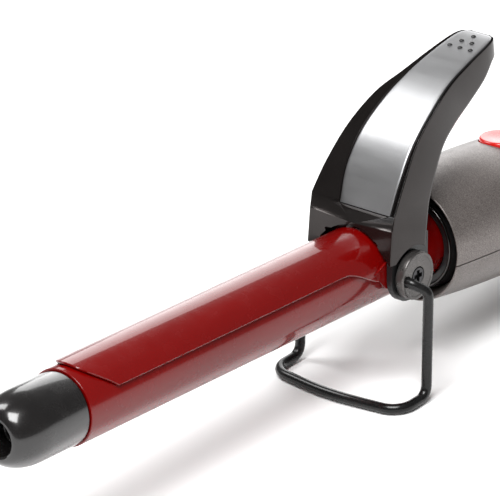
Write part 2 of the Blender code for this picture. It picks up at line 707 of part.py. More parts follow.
def inner_radius(x):
    """Inner radius: the mouth's funnel, the collar's seat, the hollow, and the gland's bore."""
    seat = COLLAR_RADIUS + FIT
    if x < HANDLE_FRONT + MOUTH_DEPTH:
        return seat + (RIM_RADIUS - 0.5 * MM - seat) * (1 - (x - HANDLE_FRONT) / MOUTH_DEPTH)
    if x < COLLAR_FRONT + COLLAR_LENGTH:
        return seat
    if x < HANDLE_TAIL - TAIL_END_WALL:
        outside = handle_radius(min(x, HANDLE_TAIL - TAIL_ROUND))
        return min(handle_radius(x), outside) - HANDLE_WALL
    return GLAND_RADIUS + SPIN


def handle_stations():
    step = 0.05 * MM
    seat_end = COLLAR_FRONT + COLLAR_LENGTH
    bore_start = HANDLE_TAIL - TAIL_END_WALL
    places = [HANDLE_FRONT, HANDLE_FRONT + 0.9 * MM, HANDLE_FRONT + MOUTH_DEPTH]
    places += [seat_end - step, seat_end + step]
    places += [seat_end + (HANDLE_TAIL - TAIL_ROUND - seat_end) * k / 12 for k in range(1, 12)]
    places += [HANDLE_TAIL - TAIL_ROUND + step, bore_start - step, bore_start + step]
    places += [HANDLE_TAIL - 2.6 * MM, HANDLE_TAIL - 1.1 * MM, HANDLE_TAIL - 0.2 * MM]
    return places


def shell_ring(x, side, columns=20):
    """Half of a tube's cross section, above (1) or below (-1) the parting line."""
    cut = -PARTING_DROP + side * FIT / 2
    centre = handle_centre(x)
    outer_radius = handle_radius(x)
    front_round = 0.6 * MM * max(0.0, 1 - (x - HANDLE_FRONT) / (0.8 * MM))

    def arc(radius):
        low = math.asin(cut / radius)
        start, end = (low, math.pi - low) if side > 0 else (low, -math.pi - low)
        return [
            (x, radius * math.cos(a), centre + radius * math.sin(a))
            for a in (start + (end - start) * k / columns for k in range(columns + 1))
        ]

    return arc(outer_radius - front_round) + arc(inner_radius(x))[::-1]


def build_handle(root, finishes):
    shells = {}
    for side, name in ((1, "handle_upper_shell"), (-1, "handle_lower_shell")):
        rings = [shell_ring(x, side) for x in handle_stations()]
        shells[name] = add_object(name, lofted(name, rings), finishes["handle"], root)
    upper, lower = shells["handle_upper_shell"], shells["handle_lower_shell"]
    table = block("table_cutter", (-0.3, -0.1, -0.05), (0.5, 0.1, 0))
    cutter = combine(lower, table, solver="MANIFOLD")
    cutter.parent = None
    cutter.location = (0, 0, 0)
    for number, x in enumerate(BOSS_PLACES, 1):
        parting = handle_centre(x) - PARTING_DROP
        reach = handle_radius(x) - HANDLE_WALL / 2
        top = rod(f"boss_upper_{number}", "Z", parting + FIT / 2, handle_centre(x) + reach, BOSS_RADIUS, 16)
        combine(upper, top, "UNION", location=(x, 0, 0))
        low = rod(f"boss_lower_{number}", "Z", handle_centre(x) - reach, parting - FIT / 2, BOSS_RADIUS, 16)
        combine(lower, low, "UNION", location=(x, 0, 0), solver="MANIFOLD")
        pilot = rod(f"pilot_{number}", "Z", parting - 5 * MM, parting + 8 * MM, HANDLE_SCREW_RADIUS + FIT, 12)
        combine(upper, pilot, location=(x, 0, 0))
        through = rod(f"through_{number}", "Z", -60 * MM, parting + 5 * MM, HANDLE_SCREW_RADIUS + FIT, 12)
        combine(lower, through, location=(x, 0, 0), solver="MANIFOLD")
        bottom = handle_centre(x) - handle_radius(x)
        seat = bottom + 4.5 * MM
        sink = rod(f"screw_sink_{number}", "Z", -60 * MM, seat, HANDLE_SCREW_HEAD + FIT, 16)
        combine(lower, sink, location=(x, 0, 0), solver="MANIFOLD")
        build_handle_screw(root, finishes["dark_steel"], number, x, seat - FIT, parting + 7 * MM)
    button_hole = rod("button_hole", "Z", 0, 40 * MM, BUTTON_RADIUS + FIT, 32)
    combine(upper, button_hole, location=(BUTTON_PLACE, 0, 0))


def build_handle_screw(root, finish, number, x, seat, end):
    """A cross-recess screw whose head sits up its well in the lower shell."""
    head = 1.4 * MM
    profile = [
        (end, 0),
        (end, HANDLE_SCREW_RADIUS),
        (seat, HANDLE_SCREW_RADIUS),
        (seat, HANDLE_SCREW_HEAD),
        (seat - head, HANDLE_SCREW_HEAD),
        (seat - head, 0),
    ]
    name = f"handle_screw_{number}"
    screw = add_object(name, turned(name, profile, "Z", 16), finish, root, (x, 0, 0))
    for arm, size in (("a", (RECESS_ARM, RECESS_WIDTH)), ("b", (RECESS_WIDTH, RECESS_ARM))):
        low = (-size[0], -size[1], seat - head - 1 * MM)
        high = (size[0], size[1], seat - head + 0.8 * MM)
        combine(screw, block(f"{name}_slot_{arm}", low, high))


def build_collar(root, finishes):
    """A black ring that centres the barrel in the handle, with a thin bright wire let into its face."""
    front, rear = COLLAR_FRONT, COLLAR_FRONT + COLLAR_LENGTH - FIT
    bore = BARREL_RADIUS + FIT
    groove = RING_WIRE + 0.12 * MM
    profile = [
        (front, bore),
        (front, RING_RADIUS - groove),
        (front + groove, RING_RADIUS - groove),
        (front + groove, RING_RADIUS + groove),
        (front, RING_RADIUS + groove),
        (front + 3 * MM, COLLAR_RADIUS),
        (rear, COLLAR_RADIUS),
        (rear, bore),
    ]
    add_object("barrel_collar", turned("barrel_collar", profile, steps=48), finishes["black"], root)
    centre = front - FIT
    ring = [
        (centre + RING_WIRE * math.cos(a), RING_RADIUS + RING_WIRE * math.sin(a))
        for a in (TAU * k / 8 for k in range(8))
    ]
    add_object("collar_ring", turned("collar_ring", ring, steps=48), finishes["bright"], root)


def build_board(root, finishes):
    level = BOARD_LEVEL
    half = min(
        math.sqrt((handle_radius(x) - HANDLE_WALL) ** 2 - (z - handle_centre(x)) ** 2)
        for x in (BOARD_START, BOARD_END)
        for z in (level, level + BOARD_THICKNESS)
    ) - FIT * 2
    low, high = (BOARD_START, -half, level), (BOARD_END, half, level + BOARD_THICKNESS)
    add_object("control_board", block("control_board", low, high), finishes["board"], root)
    top = level + BOARD_THICKNESS + FIT
    half_switch = SWITCH_SIZE / 2
    parts = (
        ("tact_switch", (BUTTON_PLACE, 0), (half_switch, half_switch, SWITCH_HEIGHT), "black"),
        ("triac", (70 * MM, -6 * MM), (4.5 * MM, 2 * MM, 9 * MM), "black"),
        ("control_chip", (66 * MM, 3 * MM), (3 * MM, 2.5 * MM, 1.6 * MM), "black"),
    )
    for name, (x, y), (dx, dy, height), finish in parts:
        mesh = block(name, (-dx, -dy, 0), (dx, dy, height))
        add_object(name, mesh, finishes[finish], root, (x, y, top))
    capacitor = rod("capacitor", "Z", 0, 7 * MM, 4 * MM, 24)
    add_object("capacitor", capacitor, finishes["aluminium"], root, (84 * MM, 4 * MM, top))
    led = rod("indicator_led", "Z", 0, LED_HEIGHT, LED_RADIUS, 16)
    add_object("indicator_led", led, finishes["lens"], root, (BUTTON_PLACE + 6.5 * MM, 0, top))


def build_button(button, finish):
    """A lit button whose stem ends just above the switch; it is guided by the shell's round hole."""
    crown = handle_centre(BUTTON_PLACE) + handle_radius(BUTTON_PLACE) + BUTTON_PROUD
    switch_top = BOARD_LEVEL + BOARD_THICKNESS + FIT + SWITCH_HEIGHT
    foot = switch_top + BUTTON_TRAVEL + 0.15 * MM
    skirt = crown - BUTTON_PROUD - 3.4 * MM
    edge = 0.6 * MM
    profile = [
        (foot, 0),
        (foot, 1.6 * MM),
        (skirt, 1.6 * MM),
        (skirt, BUTTON_RADIUS),
        (crown - edge, BUTTON_RADIUS),
        (crown, BUTTON_RADIUS - edge),
        (crown, 0),
    ]
    add_object("power_button", turned("power_button", profile[::-1], "Z", 32), finish, button)


def build_gland(root, gland, finishes):
    """A socket that swivels in the handle's end, with a slip ring for each lead."""
    inside = HANDLE_TAIL - TAIL_END_WALL - FIT
    flange = inside - 2.0 * MM
    spindle = flange - 8.0 * MM
    end = HANDLE_TAIL + GLAND_PROUD
    mouth = end - 9 * MM
    profile = [
        (spindle, 0),
        (spindle, SPINDLE_RADIUS),
        (flange, SPINDLE_RADIUS),
        (flange, GLAND_FLANGE),
        (inside, GLAND_FLANGE),
        (inside, GLAND_RADIUS),
        (end - 0.8 * MM, GLAND_RADIUS),
        (end, GLAND_RADIUS - 0.8 * MM),
        (end, GLAND_BORE),
        (mouth, GLAND_BORE),
        (mouth, 0),
    ]
    add_object("cord_gland", turned("cord_gland", profile), finishes["black"], gland)
    for number, (name, side) in enumerate((("live", 1), ("neutral", -1))):
        start = flange - FIT - (number + 1) * (CONTACT_WIDTH + 1.2 * MM)
        inner = SPINDLE_RADIUS + 0.25 * MM
        ring = [
            (start, inner),
            (start, CONTACT_RADIUS),
            (start + CONTACT_WIDTH, CONTACT_RADIUS),
            (start + CONTACT_WIDTH, inner),
        ]
        ring_name = f"slip_ring_{name}"
        add_object(ring_name, turned(ring_name, ring, steps=24), finishes["brass"], gland)
        build_brush(root, finishes["brass"], name, side, start + CONTACT_WIDTH)


def build_brush(root, finish, name, side, end):
    """A flat brass strip from the board's rear edge to its slip ring."""
    tail = handle_centre(HANDLE_TAIL)
    board = BOARD_LEVEL + BOARD_THICKNESS / 2
    start = BOARD_END + FIT
    half = 1.2 * MM
    outline = [
        (start, board - half),
        (start + 4 * MM, board - half),
        (end - 8 * MM, tail - half),
        (end, tail - half),
        (end, tail + half),
        (end - 8 * MM, tail + half),
        (start + 4 * MM, board + half),
        (start, board + half),
    ]
    inner = CONTACT_RADIUS + FIT
    faces = sorted((side * inner, side * (inner + 0.4 * MM)))
    brush_name = f"contact_brush_{name}"
    add_object(brush_name, extruded(brush_name, outline, "Y", *faces), finish, root)


# ---- the whole iron ----


def table_slope():
    """Slope of the line that touches the stand's foot and the handle's underside."""
    bar_x, bar_z = -STAND_REACH, -STAND_DROP - WIRE_RADIUS
    undersides = ((x, handle_centre(x) - handle_radius(x)) for x in handle_stations())
    slope, contact = min(((z - bar_z) / (x - bar_x), x) for x, z in undersides)
    return slope + TAIL_FLAT_DEPTH / (contact - bar_x)


def seat_on_table(iron):
    """Pitches the iron on to its stand and tail, and centres its length over the world's origin."""
    pitch = math.atan(table_slope())
    iron.rotation_euler = (0, pitch, 0)
    height = WIRE_RADIUS - STAND_REACH * math.sin(pitch) + STAND_DROP * math.cos(pitch)
    nose = Vector((-BARREL_FRONT - FIT - TIP_LENGTH, 0, -TIP_HOLE_RADIUS - 0.5 * MM))
    tail = Vector((HANDLE_TAIL + GLAND_PROUD, 0, handle_centre(HANDLE_TAIL) + GLAND_RADIUS - 0.8 * MM))
    turn = Matrix.Rotation(pitch, 3, "Y")
    nose_x = (turn @ nose).x
    tail_x = (turn @ tail).x
    iron.location = (-(nose_x + tail_x) / 2, 0, height)


def main():
    clear_scene()
    finishes = {
        "red": material("red_ceramic", (0.42, 0.012, 0.012), 0.3, 0.22),
        "tip": material("dark_gloss", (0.035, 0.032, 0.033), 0.2, 0.15),
        "lever": material("black_chrome", (0.16, 0.15, 0.15), 0.8, 0.2),
        "bright": material("polished", (0.62, 0.62, 0.63), 1.0, 0.15),
        "black": material("black_plastic", (0.02, 0.02, 0.022), 0.0, 0.35),
        "wire": material("coated_wire", (0.015, 0.015, 0.017), 0.0, 0.3),
        "handle": material("warm_grey", (0.2, 0.18, 0.17), 0.5, 0.4),
        "steel": material("steel", (0.5, 0.5, 0.5), 1.0, 0.35),
        "dark_steel": material("dark_steel", (0.06, 0.06, 0.065), 0.8, 0.35),
        "aluminium": material("aluminium", (0.7, 0.7, 0.7), 1.0, 0.35),
        "ceramic": material("ceramic", (0.8, 0.78, 0.72), 0.0, 0.6),
        "board": material("board", (0.03, 0.16, 0.06), 0.0, 0.5),
        "lens": material("red_lens", (0.7, 0.02, 0.02), 0.0, 0.2),
        "brass": material("brass", (0.7, 0.5, 0.2), 1.0, 0.3),
        "glass": material("glass_bead", (0.5, 0.3, 0.1), 0.0, 0.2),
        "lead": material("lead_sleeve", (0.7, 0.68, 0.62), 0.0, 0.7),
    }
    iron = empty("iron")
    lever = empty("lever_pivot", iron)
    stand = empty("stand_pivot", iron)
    button = empty("button_guide", iron, (BUTTON_PLACE, 0, 0))
    gland = empty("gland_axis", iron, (0, 0, handle_centre(HANDLE_TAIL)))
    build_barrel(iron, finishes["red"])
    build_tip(iron, finishes["tip"])
    build_heater(iron, finishes)
    build_leads(iron, finishes["lead"])
    build_pivot(iron, finishes)
    build_collar(iron, finishes)
    build_handle(iron, finishes)
    build_board(iron, finishes)
    build_clamp(lever, finishes["red"])
    build_lever_shell(lever, finishes["lever"])
    build_top_plate(lever, finishes["bright"])
    build_liners(lever, finishes["black"])
    build_spring(lever, finishes["steel"])
    build_stand(stand, finishes)
    build_button(button, finishes["lens"])
    build_gland(iron, gland, finishes)
    seat_on_table(iron)


main()
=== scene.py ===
"""Curling iron: the finished look of its barrel, clamp, lever, stand, handle and small parts."""

import json
import math

import bmesh
import bpy
import numpy as np
from mathutils import Matrix


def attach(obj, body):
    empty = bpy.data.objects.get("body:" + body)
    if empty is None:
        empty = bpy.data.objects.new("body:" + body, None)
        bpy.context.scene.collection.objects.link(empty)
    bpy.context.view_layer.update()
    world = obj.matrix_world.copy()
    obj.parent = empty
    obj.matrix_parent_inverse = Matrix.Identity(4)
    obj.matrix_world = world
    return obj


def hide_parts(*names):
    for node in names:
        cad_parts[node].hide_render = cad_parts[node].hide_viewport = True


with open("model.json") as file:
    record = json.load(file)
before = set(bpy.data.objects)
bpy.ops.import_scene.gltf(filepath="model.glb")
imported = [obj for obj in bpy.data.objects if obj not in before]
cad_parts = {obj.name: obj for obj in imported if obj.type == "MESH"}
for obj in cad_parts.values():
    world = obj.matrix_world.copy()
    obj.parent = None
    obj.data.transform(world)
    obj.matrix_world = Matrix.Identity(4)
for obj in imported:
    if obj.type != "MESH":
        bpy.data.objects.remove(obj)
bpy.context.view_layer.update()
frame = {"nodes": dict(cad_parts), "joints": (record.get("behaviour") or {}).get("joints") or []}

MM = 0.001
TAU = 2 * math.pi
NODES = frame["nodes"]
JOINTS = {joint["name"]: joint for joint in frame["joints"]}

# The iron's own axes: from the tip to the tail, across, and up out of its back, with the pivot at zero.
PIVOT = np.array(JOINTS["lever_hinge"]["pos_m"])
LONG = np.array(JOINTS["gland_swivel"]["axis"])
LONG = LONG / np.linalg.norm(LONG)
ACROSS = np.array([0.0, 1.0, 0.0])
RISE = np.array([-LONG[2], 0.0, LONG[0]])

# Sizes in millimetres, as the CAD has them. Places along the iron run from the tip (-) to the tail (+).
FIT = 0.3  # between pieces that touch
BARREL_RADIUS = 9.5
BARREL_WALL = 0.9
BARREL_FRONT = -112.5
BARREL_TAIL = 27.0
TIP_SEAM = -112.8
TIP_NOSE = -134.4
TIP_RADIUS = 9.1
TIP_HOLE = 4.4
TIP_HOLE_DEPTH = 7.0
TIP_BORE = 6.3
SPIGOT_LENGTH = 8.0
SPIGOT_RADIUS = 8.3
CLAMP_INNER = 9.8
CLAMP_OUTER = 10.5
CLAMP_FRONT = -110.2
CLAMP_REAR = -4.0
CLAMP_BOW = 7.5
CLAMP_BOW_LENGTH = 18.0
CLAMP_FLARE = 14.0
EAR_RADIUS = 6.2
CLAMP_COLUMNS = 61  # points across the trough
SCREW_HOLE = 2.0
EDGE_ANGLE = math.radians(29.0)
ARCH_RADIUS = 11.4
CHEEK = 14.2
RIM = 13.0
CHEEK_BOTTOM = 4.5
REACH = 43.5
HEIGHT = 46.7
PLATE_THICKNESS = 0.8
PLATE_SEAT = PLATE_THICKNESS + FIT
LEVER_WALL = 1.9
LEVER_SWING = math.radians(25)
SWING_RADIUS = 10.1
NOTCH_RADIUS = 7.6
PIP_RADIUS = 0.62
PIP_HEIGHT = 0.3
PIP_PITCH = 3.2
CAP_INNER = 12.7
CAP_OUTER = 15.1
CAP_RADIUS = 6.1
WIRE_RADIUS = 1.3
SOCKET_OFFSET = 4.2
SOCKET_RISE = math.radians(-5)
STAND_DROP = 30.4
STAND_FRONT = -15.6
STAND_SPREAD = 20.0
STAND_LEAN = -2.7
HANDLE_FRONT = 15.5
HANDLE_TAIL = 151.0
HANDLE_WALL = 2.5
SEAT_END = 27.6
TAIL_ROUND_START = 143.0
SCREW_PLACES = (35.0, 124.0)
SCREW_WELL = 2.6
COLLAR_FRONT = 16.7
COLLAR_REAR = 27.4
RING_RADIUS = 11.9
RING_WIRE = 0.35
PARTING = 2.6
BUTTON_PLACE = 52.0
BUTTON_RADIUS = 5.2
BUTTON_PROUD = 1.0

# The camera's up and backward directions along the iron's axes, and its place from the pivot in metres.
CAMERA_UP = (0.29616, 0.24412, 0.92341)
CAMERA_BACK = (-0.70638, -0.59483, 0.38368)
CAMERA_ASIDE = 0.02935
CAMERA_RAISED = 0.00312
CAMERA_DISTANCE = 1.1404
LENS = 335.5

BLOCK_FACES = [[0, 1, 3, 2], [4, 6, 7, 5], [0, 4, 5, 1], [2, 3, 7, 6], [0, 2, 6, 4], [1, 5, 7, 3]]


# ---- shapes ----


def to_world(points):
    """Points in the iron's own axes and millimetres, turned into the frame's axes and metres."""
    points = np.asarray(points, float) * MM
    return PIVOT + points[..., 0:1] * LONG + points[..., 1:2] * ACROSS + points[..., 2:3] * RISE


def new_piece(name, points, faces, smooth_angle=35):
    """A mesh object from world points and polygon faces, its doubles merged and its faces turned outwards."""
    mesh = bpy.data.meshes.new(name)
    mesh.from_pydata(points.tolist(), [], faces)
    mesh.validate()
    piece = bpy.data.objects.new(name, mesh)
    bpy.context.scene.collection.objects.link(piece)
    tidy(mesh, smooth_angle)
    return piece


def tidy(mesh, smooth_angle):
    """Merges doubles, turns faces outwards and shades smooth below the angle."""
    work = bmesh.new()
    work.from_mesh(mesh)
    bmesh.ops.remove_doubles(work, verts=work.verts, dist=2e-6)
    bmesh.ops.recalc_face_normals(work, faces=work.faces)
    work.to_mesh(mesh)
    work.free()
    mesh.shade_smooth()
    mesh.set_sharp_from_angle(angle=math.radians(smooth_angle))


def skin(rows, wrap_rows=False, wrap_columns=True, caps=True):
    """Quads between neighbouring points of a grid of shape (rows, columns, 3), its end rings closed."""
    n, m = rows.shape[:2]
    i = np.arange(n if wrap_rows else n - 1)[:, None]
    j = np.arange(m if wrap_columns else m - 1)[None, :]
    a = i * m + j
    b = i * m + (j + 1) % m
    c = ((i + 1) % n) * m + (j + 1) % m
    d = ((i + 1) % n) * m + j
    faces = np.stack([a, b, c, d], -1).reshape(-1, 4).tolist()
    if caps and not wrap_rows:
        faces += [list(range(m))[::-1], list(range((n - 1) * m, n * m))]
    return rows.reshape(-1, 3), faces


def rounded(corners, radii, steps):
    """A closed outline through the corners. Each corner becomes steps + 1 points of a quadratic curve.

    The curve starts and ends a radius away from the corner, or just under half an edge if that is shorter.
    """
    corners = np.asarray(corners, float)
    radii = np.asarray(radii, float)[:, None]
    back = np.roll(corners, 1, 0) - corners
    ahead = np.roll(corners, -1, 0) - corners
    length_back = np.linalg.norm(back, axis=1, keepdims=True)
    length_ahead = np.linalg.norm(ahead, axis=1, keepdims=True)
    start = corners + back / length_back * np.minimum(radii, 0.49 * length_back)
    end = corners + ahead / length_ahead * np.minimum(radii, 0.49 * length_ahead)
    t = np.linspace(0, 1, steps + 1)[None, :, None]
    curve = (1 - t) ** 2 * start[:, None] + 2 * t * (1 - t) * corners[:, None] + t**2 * end[:, None]
    return curve.reshape(-1, corners.shape[1])


def on_axis(axis, along, first, second):
    """Points from their place along an axis and their two places across it."""
    orders = {"X": (along, first, second), "Y": (second, along, first), "Z": (first, second, along)}
    return np.stack(orders[axis], -1)


def turned(name, outline, radii, centre=(0, 0, 0), axis="X", steps=96, corner_steps=5, smooth_angle=35):
    """A closed outline of (place along the axis, radius), its corners rounded, carried round the axis."""
    profile = rounded(outline, radii, corner_steps)
    turn = np.linspace(0, TAU, steps, endpoint=False)[None, :]
    along = np.repeat(profile[:, 0:1], steps, 1)
    radius = np.maximum(profile[:, 1:2], 0.0)
    rows = on_axis(axis, along, radius * np.cos(turn), radius * np.sin(turn)) + np.asarray(centre, float)
    return new_piece(name, *skin(to_world(rows), wrap_rows=True), smooth_angle)


def smooth_step(t):
    """Rises from 0 to 1 as t does, level at both ends: three t squared less two t cubed."""
    t = np.clip(t, 0.0, 1.0)
    return t * t * (3 - 2 * t)


def arc_route(corners, radii, steps=10):
    """The route through the corners, each replaced by a circular arc that touches both its legs."""
    corners = np.asarray(corners, float)
    here = corners[1:-1]
    back = corners[:-2] - here
    ahead = corners[2:] - here
    back /= np.linalg.norm(back, axis=1, keepdims=True)
    ahead /= np.linalg.norm(ahead, axis=1, keepdims=True)
    half = np.arccos(np.clip((back * ahead).sum(1), -1, 1))[:, None] / 2
    middle = back + ahead
    middle /= np.linalg.norm(middle, axis=1, keepdims=True)
    radii = np.asarray(radii, float)[:, None]
    centre = here + middle * radii / np.sin(half)
    start = here + back * radii / np.tan(half) - centre
    end = here + ahead * radii / np.tan(half) - centre
    sweep = (math.pi - 2 * half)[:, None]
    t = np.linspace(0, 1, steps + 1)[None, :, None]
    arcs = np.sin((1 - t) * sweep) * start[:, None] + np.sin(t * sweep) * end[:, None]
    arcs /= np.sin(sweep)
    points = (arcs + centre[:, None]).reshape(-1, 3)
    return np.concatenate([corners[:1], points, corners[-1:]])


def resampled(points, spacing):
    """The same route with points at an even spacing."""
    steps = np.linalg.norm(np.diff(points, axis=0), axis=1)
    lengths = np.concatenate([[0], np.cumsum(steps)])
    keep = np.concatenate([[True], np.diff(lengths) > 1e-9])
    even = np.linspace(0, lengths[-1], int(lengths[-1] / spacing) + 2)
    return np.stack([np.interp(even, lengths[keep], column) for column in points[keep].T], 1)


def tube(name, route, radius, lean, sides=24, end_round=0.35):
    """A round wire along the route: a ring across the tangent at each point, a little smaller at both ends.

    A ring's first spoke is square to the tangent and to the lean direction.
    """
    tangent = np.gradient(route, axis=0)
    tangent /= np.linalg.norm(tangent, axis=1, keepdims=True)
    spoke = np.cross(tangent, np.asarray(lean, float))
    spoke /= np.linalg.norm(spoke, axis=1, keepdims=True)
    other = np.cross(tangent, spoke)
    size = np.full(len(route), radius)
    size[[0, -1]] *= 1 - end_round
    turn = np.linspace(0, TAU, sides, endpoint=False)[None, :, None]
    ring = np.cos(turn) * spoke[:, None] + np.sin(turn) * other[:, None]
    rows = route[:, None] + size[:, None, None] * ring
    return new_piece(name, *skin(to_world(rows)), 60)


def cut(piece, tool, operation="DIFFERENCE"):
    """Applies a Boolean to the piece's mesh and throws the tool away."""
    modifier = piece.modifiers.new("cut", "BOOLEAN")
    modifier.operation = operation
    modifier.solver = "EXACT"
    modifier.object = tool
    bpy.context.view_layer.update()
    graph = bpy.context.evaluated_depsgraph_get()
    made = bpy.data.meshes.new_from_object(piece.evaluated_get(graph))
    piece.modifiers.clear()
    old = piece.data
    piece.data = made
    bpy.data.meshes.remove(old)
    bpy.data.objects.remove(tool, do_unlink=True)


def shade(piece, smooth_angle):
    """Shades the piece smooth below the angle, which a cut may have undone."""
    piece.data.shade_smooth()
    piece.data.set_sharp_from_angle(angle=math.radians(smooth_angle))


def rod(axis, start, end, radius, centre=(0, 0, 0), steps=96, tilt=0.0):
    """A cylinder for cutting: a circle at each end, which may be tilted about the pivot's axis."""
    turn = np.linspace(0, TAU, steps, endpoint=False)
    along = np.repeat([[start], [end]], steps, 1)
    first = np.repeat([radius * np.cos(turn)], 2, 0)
    second = np.repeat([radius * np.sin(turn)], 2, 0)
    if axis == "Y":
        first, second = second, first
    x, y, z = np.moveaxis(on_axis(axis, along, first, second) + np.asarray(centre, float), -1, 0)
    c, s = math.cos(tilt), math.sin(tilt)
    rows = np.stack([x * c + z * s, y, z * c - x * s], -1)
    return new_piece("cutter", *skin(to_world(rows)))


def cross_holes(piece, inner, outer):
    """Drills the piece for the pivot's screw on both sides, from one distance across to another."""
    for side in (1, -1):
        cut(piece, rod("Y", *sorted((side * inner, side * outer)), SCREW_HOLE, steps=32))


def block_corners(low, high):
    """The eight corners of a block, in the order that its faces take them."""
    x, y, z = np.meshgrid(*zip(low, high), indexing="ij")
    return np.stack([x, y, z], -1).reshape(-1, 3)


# ---- finishes ----


class Finish:
    """A Principled material: its colour, roughness and bump come from noise on the piece's own coordinates."""

    def __init__(self, name, **sockets):
        self.made = bpy.data.materials.new(name)
        self.made.use_nodes = True
        self.tree = self.made.node_tree
        self.shader = self.tree.nodes["Principled BSDF"]
        self.place = self.tree.nodes.new("ShaderNodeTexCoord").outputs["Object"]
        for socket, value in sockets.items():
            self.shader.inputs[socket.replace("_", " ")].default_value = value

    def noise(self, scale, detail=3.0, stretch=(1, 1, 1)):
        """Noise with features about 1/scale metres apart. A factor under 1 stretches it along that axis."""
        mapping = self.tree.nodes.new("ShaderNodeMapping")
        mapping.inputs["Scale"].default_value = stretch
        self.tree.links.new(self.place, mapping.inputs["Vector"])
        texture = self.tree.nodes.new("ShaderNodeTexNoise")
        texture.inputs["Scale"].default_value = scale
        texture.inputs["Detail"].default_value = detail
        self.tree.links.new(mapping.outputs["Vector"], texture.inputs["Vector"])
        return texture.outputs["Fac"]

    def colours(self, value, dark, light, start=0.3, end=0.7):
        """Base colour between two, by the noise value."""
        node = self.tree.nodes.new("ShaderNodeValToRGB")
        node.color_ramp.elements[0].position = start
        node.color_ramp.elements[0].color = (*dark, 1)
        node.color_ramp.elements[1].position = end
        node.color_ramp.elements[1].color = (*light, 1)
        self.tree.links.new(value, node.inputs["Fac"])
        self.tree.links.new(node.outputs["Color"], self.shader.inputs["Base Color"])

    def rough(self, value, low, high):
        """Roughness between two, by the noise value."""
        node = self.tree.nodes.new("ShaderNodeMapRange")
        node.inputs["From Min"].default_value = 0.3
        node.inputs["From Max"].default_value = 0.7
        node.inputs["To Min"].default_value = low
        node.inputs["To Max"].default_value = high
        self.tree.links.new(value, node.inputs["Value"])
        self.tree.links.new(node.outputs["Result"], self.shader.inputs["Roughness"])

    def bump(self, *layers):
        """Bump from (noise value, depth in metres) layers, one over another."""
        normal = None
        for value, depth in layers:
            node = self.tree.nodes.new("ShaderNodeBump")
            node.inputs["Strength"].default_value = 1.0
            node.inputs["Distance"].default_value = depth
            self.tree.links.new(value, node.inputs["Height"])
            if normal is not None:
                self.tree.links.new(normal, node.inputs["Normal"])
            normal = node.outputs["Normal"]
        self.tree.links.new(normal, self.shader.inputs["Normal"])


def plain(name, dark, light, metallic, low, high, grain=1400, depth=0.000006, patch=150):
    """A finish whose colour patches, roughness and grain need nothing else."""
    finish = Finish(name, Metallic=metallic)
    finish.colours(finish.noise(patch, 3), dark, light)
    finish.rough(finish.noise(patch * 3, 3), low, high)
    finish.bump((finish.noise(grain, 3), depth))
    return finish.made


def coated_finishes():
    """The glossy and plated finishes of the outside."""
    made = {}

    coat = {"Specular_IOR_Level": 0.15, "Coat_Weight": 0.6, "Coat_Roughness": 0.03, "Coat_IOR": 1.5}
    red = Finish("red_ceramic_coating", Metallic=0.0, **coat)
    red.colours(red.noise(60, 4, (0.25, 1, 1)), (0.128, 0.0006, 0.0005), (0.158, 0.0009, 0.0007))
    red.rough(red.noise(240, 4), 0.2, 0.3)
    red.bump((red.noise(900, 2), 0.000004), (red.noise(130, 2, (0.2, 1, 1)), 0.00001))
    made["red"] = red.made

    tip = Finish("gunmetal_cool_tip", Metallic=0.35, Coat_Weight=0.7, Coat_Roughness=0.08)
    tip.colours(tip.noise(90, 4), (0.0075, 0.0066, 0.0066), (0.012, 0.0108, 0.0108))
    tip.rough(tip.noise(300, 4), 0.2, 0.3)
    tip.bump((tip.noise(1200, 2), 0.000004))
    made["tip"] = tip.made

    coat = {"Specular_IOR_Level": 0.3, "Coat_Weight": 0.2, "Coat_Roughness": 0.05}
    lever = Finish("black_chrome_lever", Metallic=0.8, **coat)
    lever.colours(lever.noise(70, 3), (0.026, 0.0222, 0.0212), (0.036, 0.0310, 0.0298))
    lever.rough(lever.noise(260, 4), 0.1, 0.18)
    lever.bump((lever.noise(1100, 2), 0.000003))
    made["lever"] = lever.made

    plate = Finish("bright_lever_plate", Metallic=0.96)
    plate.colours(plate.noise(55, 3), (0.36, 0.362, 0.368), (0.42, 0.422, 0.43))
    plate.rough(plate.noise(420, 4, (1, 0.15, 1)), 0.36, 0.42)
    plate.bump((plate.noise(2600, 2, (1, 0.06, 1)), 0.0000025))
    made["plate"] = plate.made

    glow = {"Emission_Color": (1.0, 0.03, 0.02, 1), "Emission_Strength": 0.35, "Coat_Weight": 0.6}
    lens = Finish("lit_red_lens", **glow)
    lens.colours(lens.noise(300, 2), (0.40, 0.003, 0.003), (0.55, 0.008, 0.006))
    lens.rough(lens.noise(500, 2), 0.18, 0.28)
    lens.bump((lens.noise(1600, 2), 0.000004))
    made["lens"] = lens.made
    return made


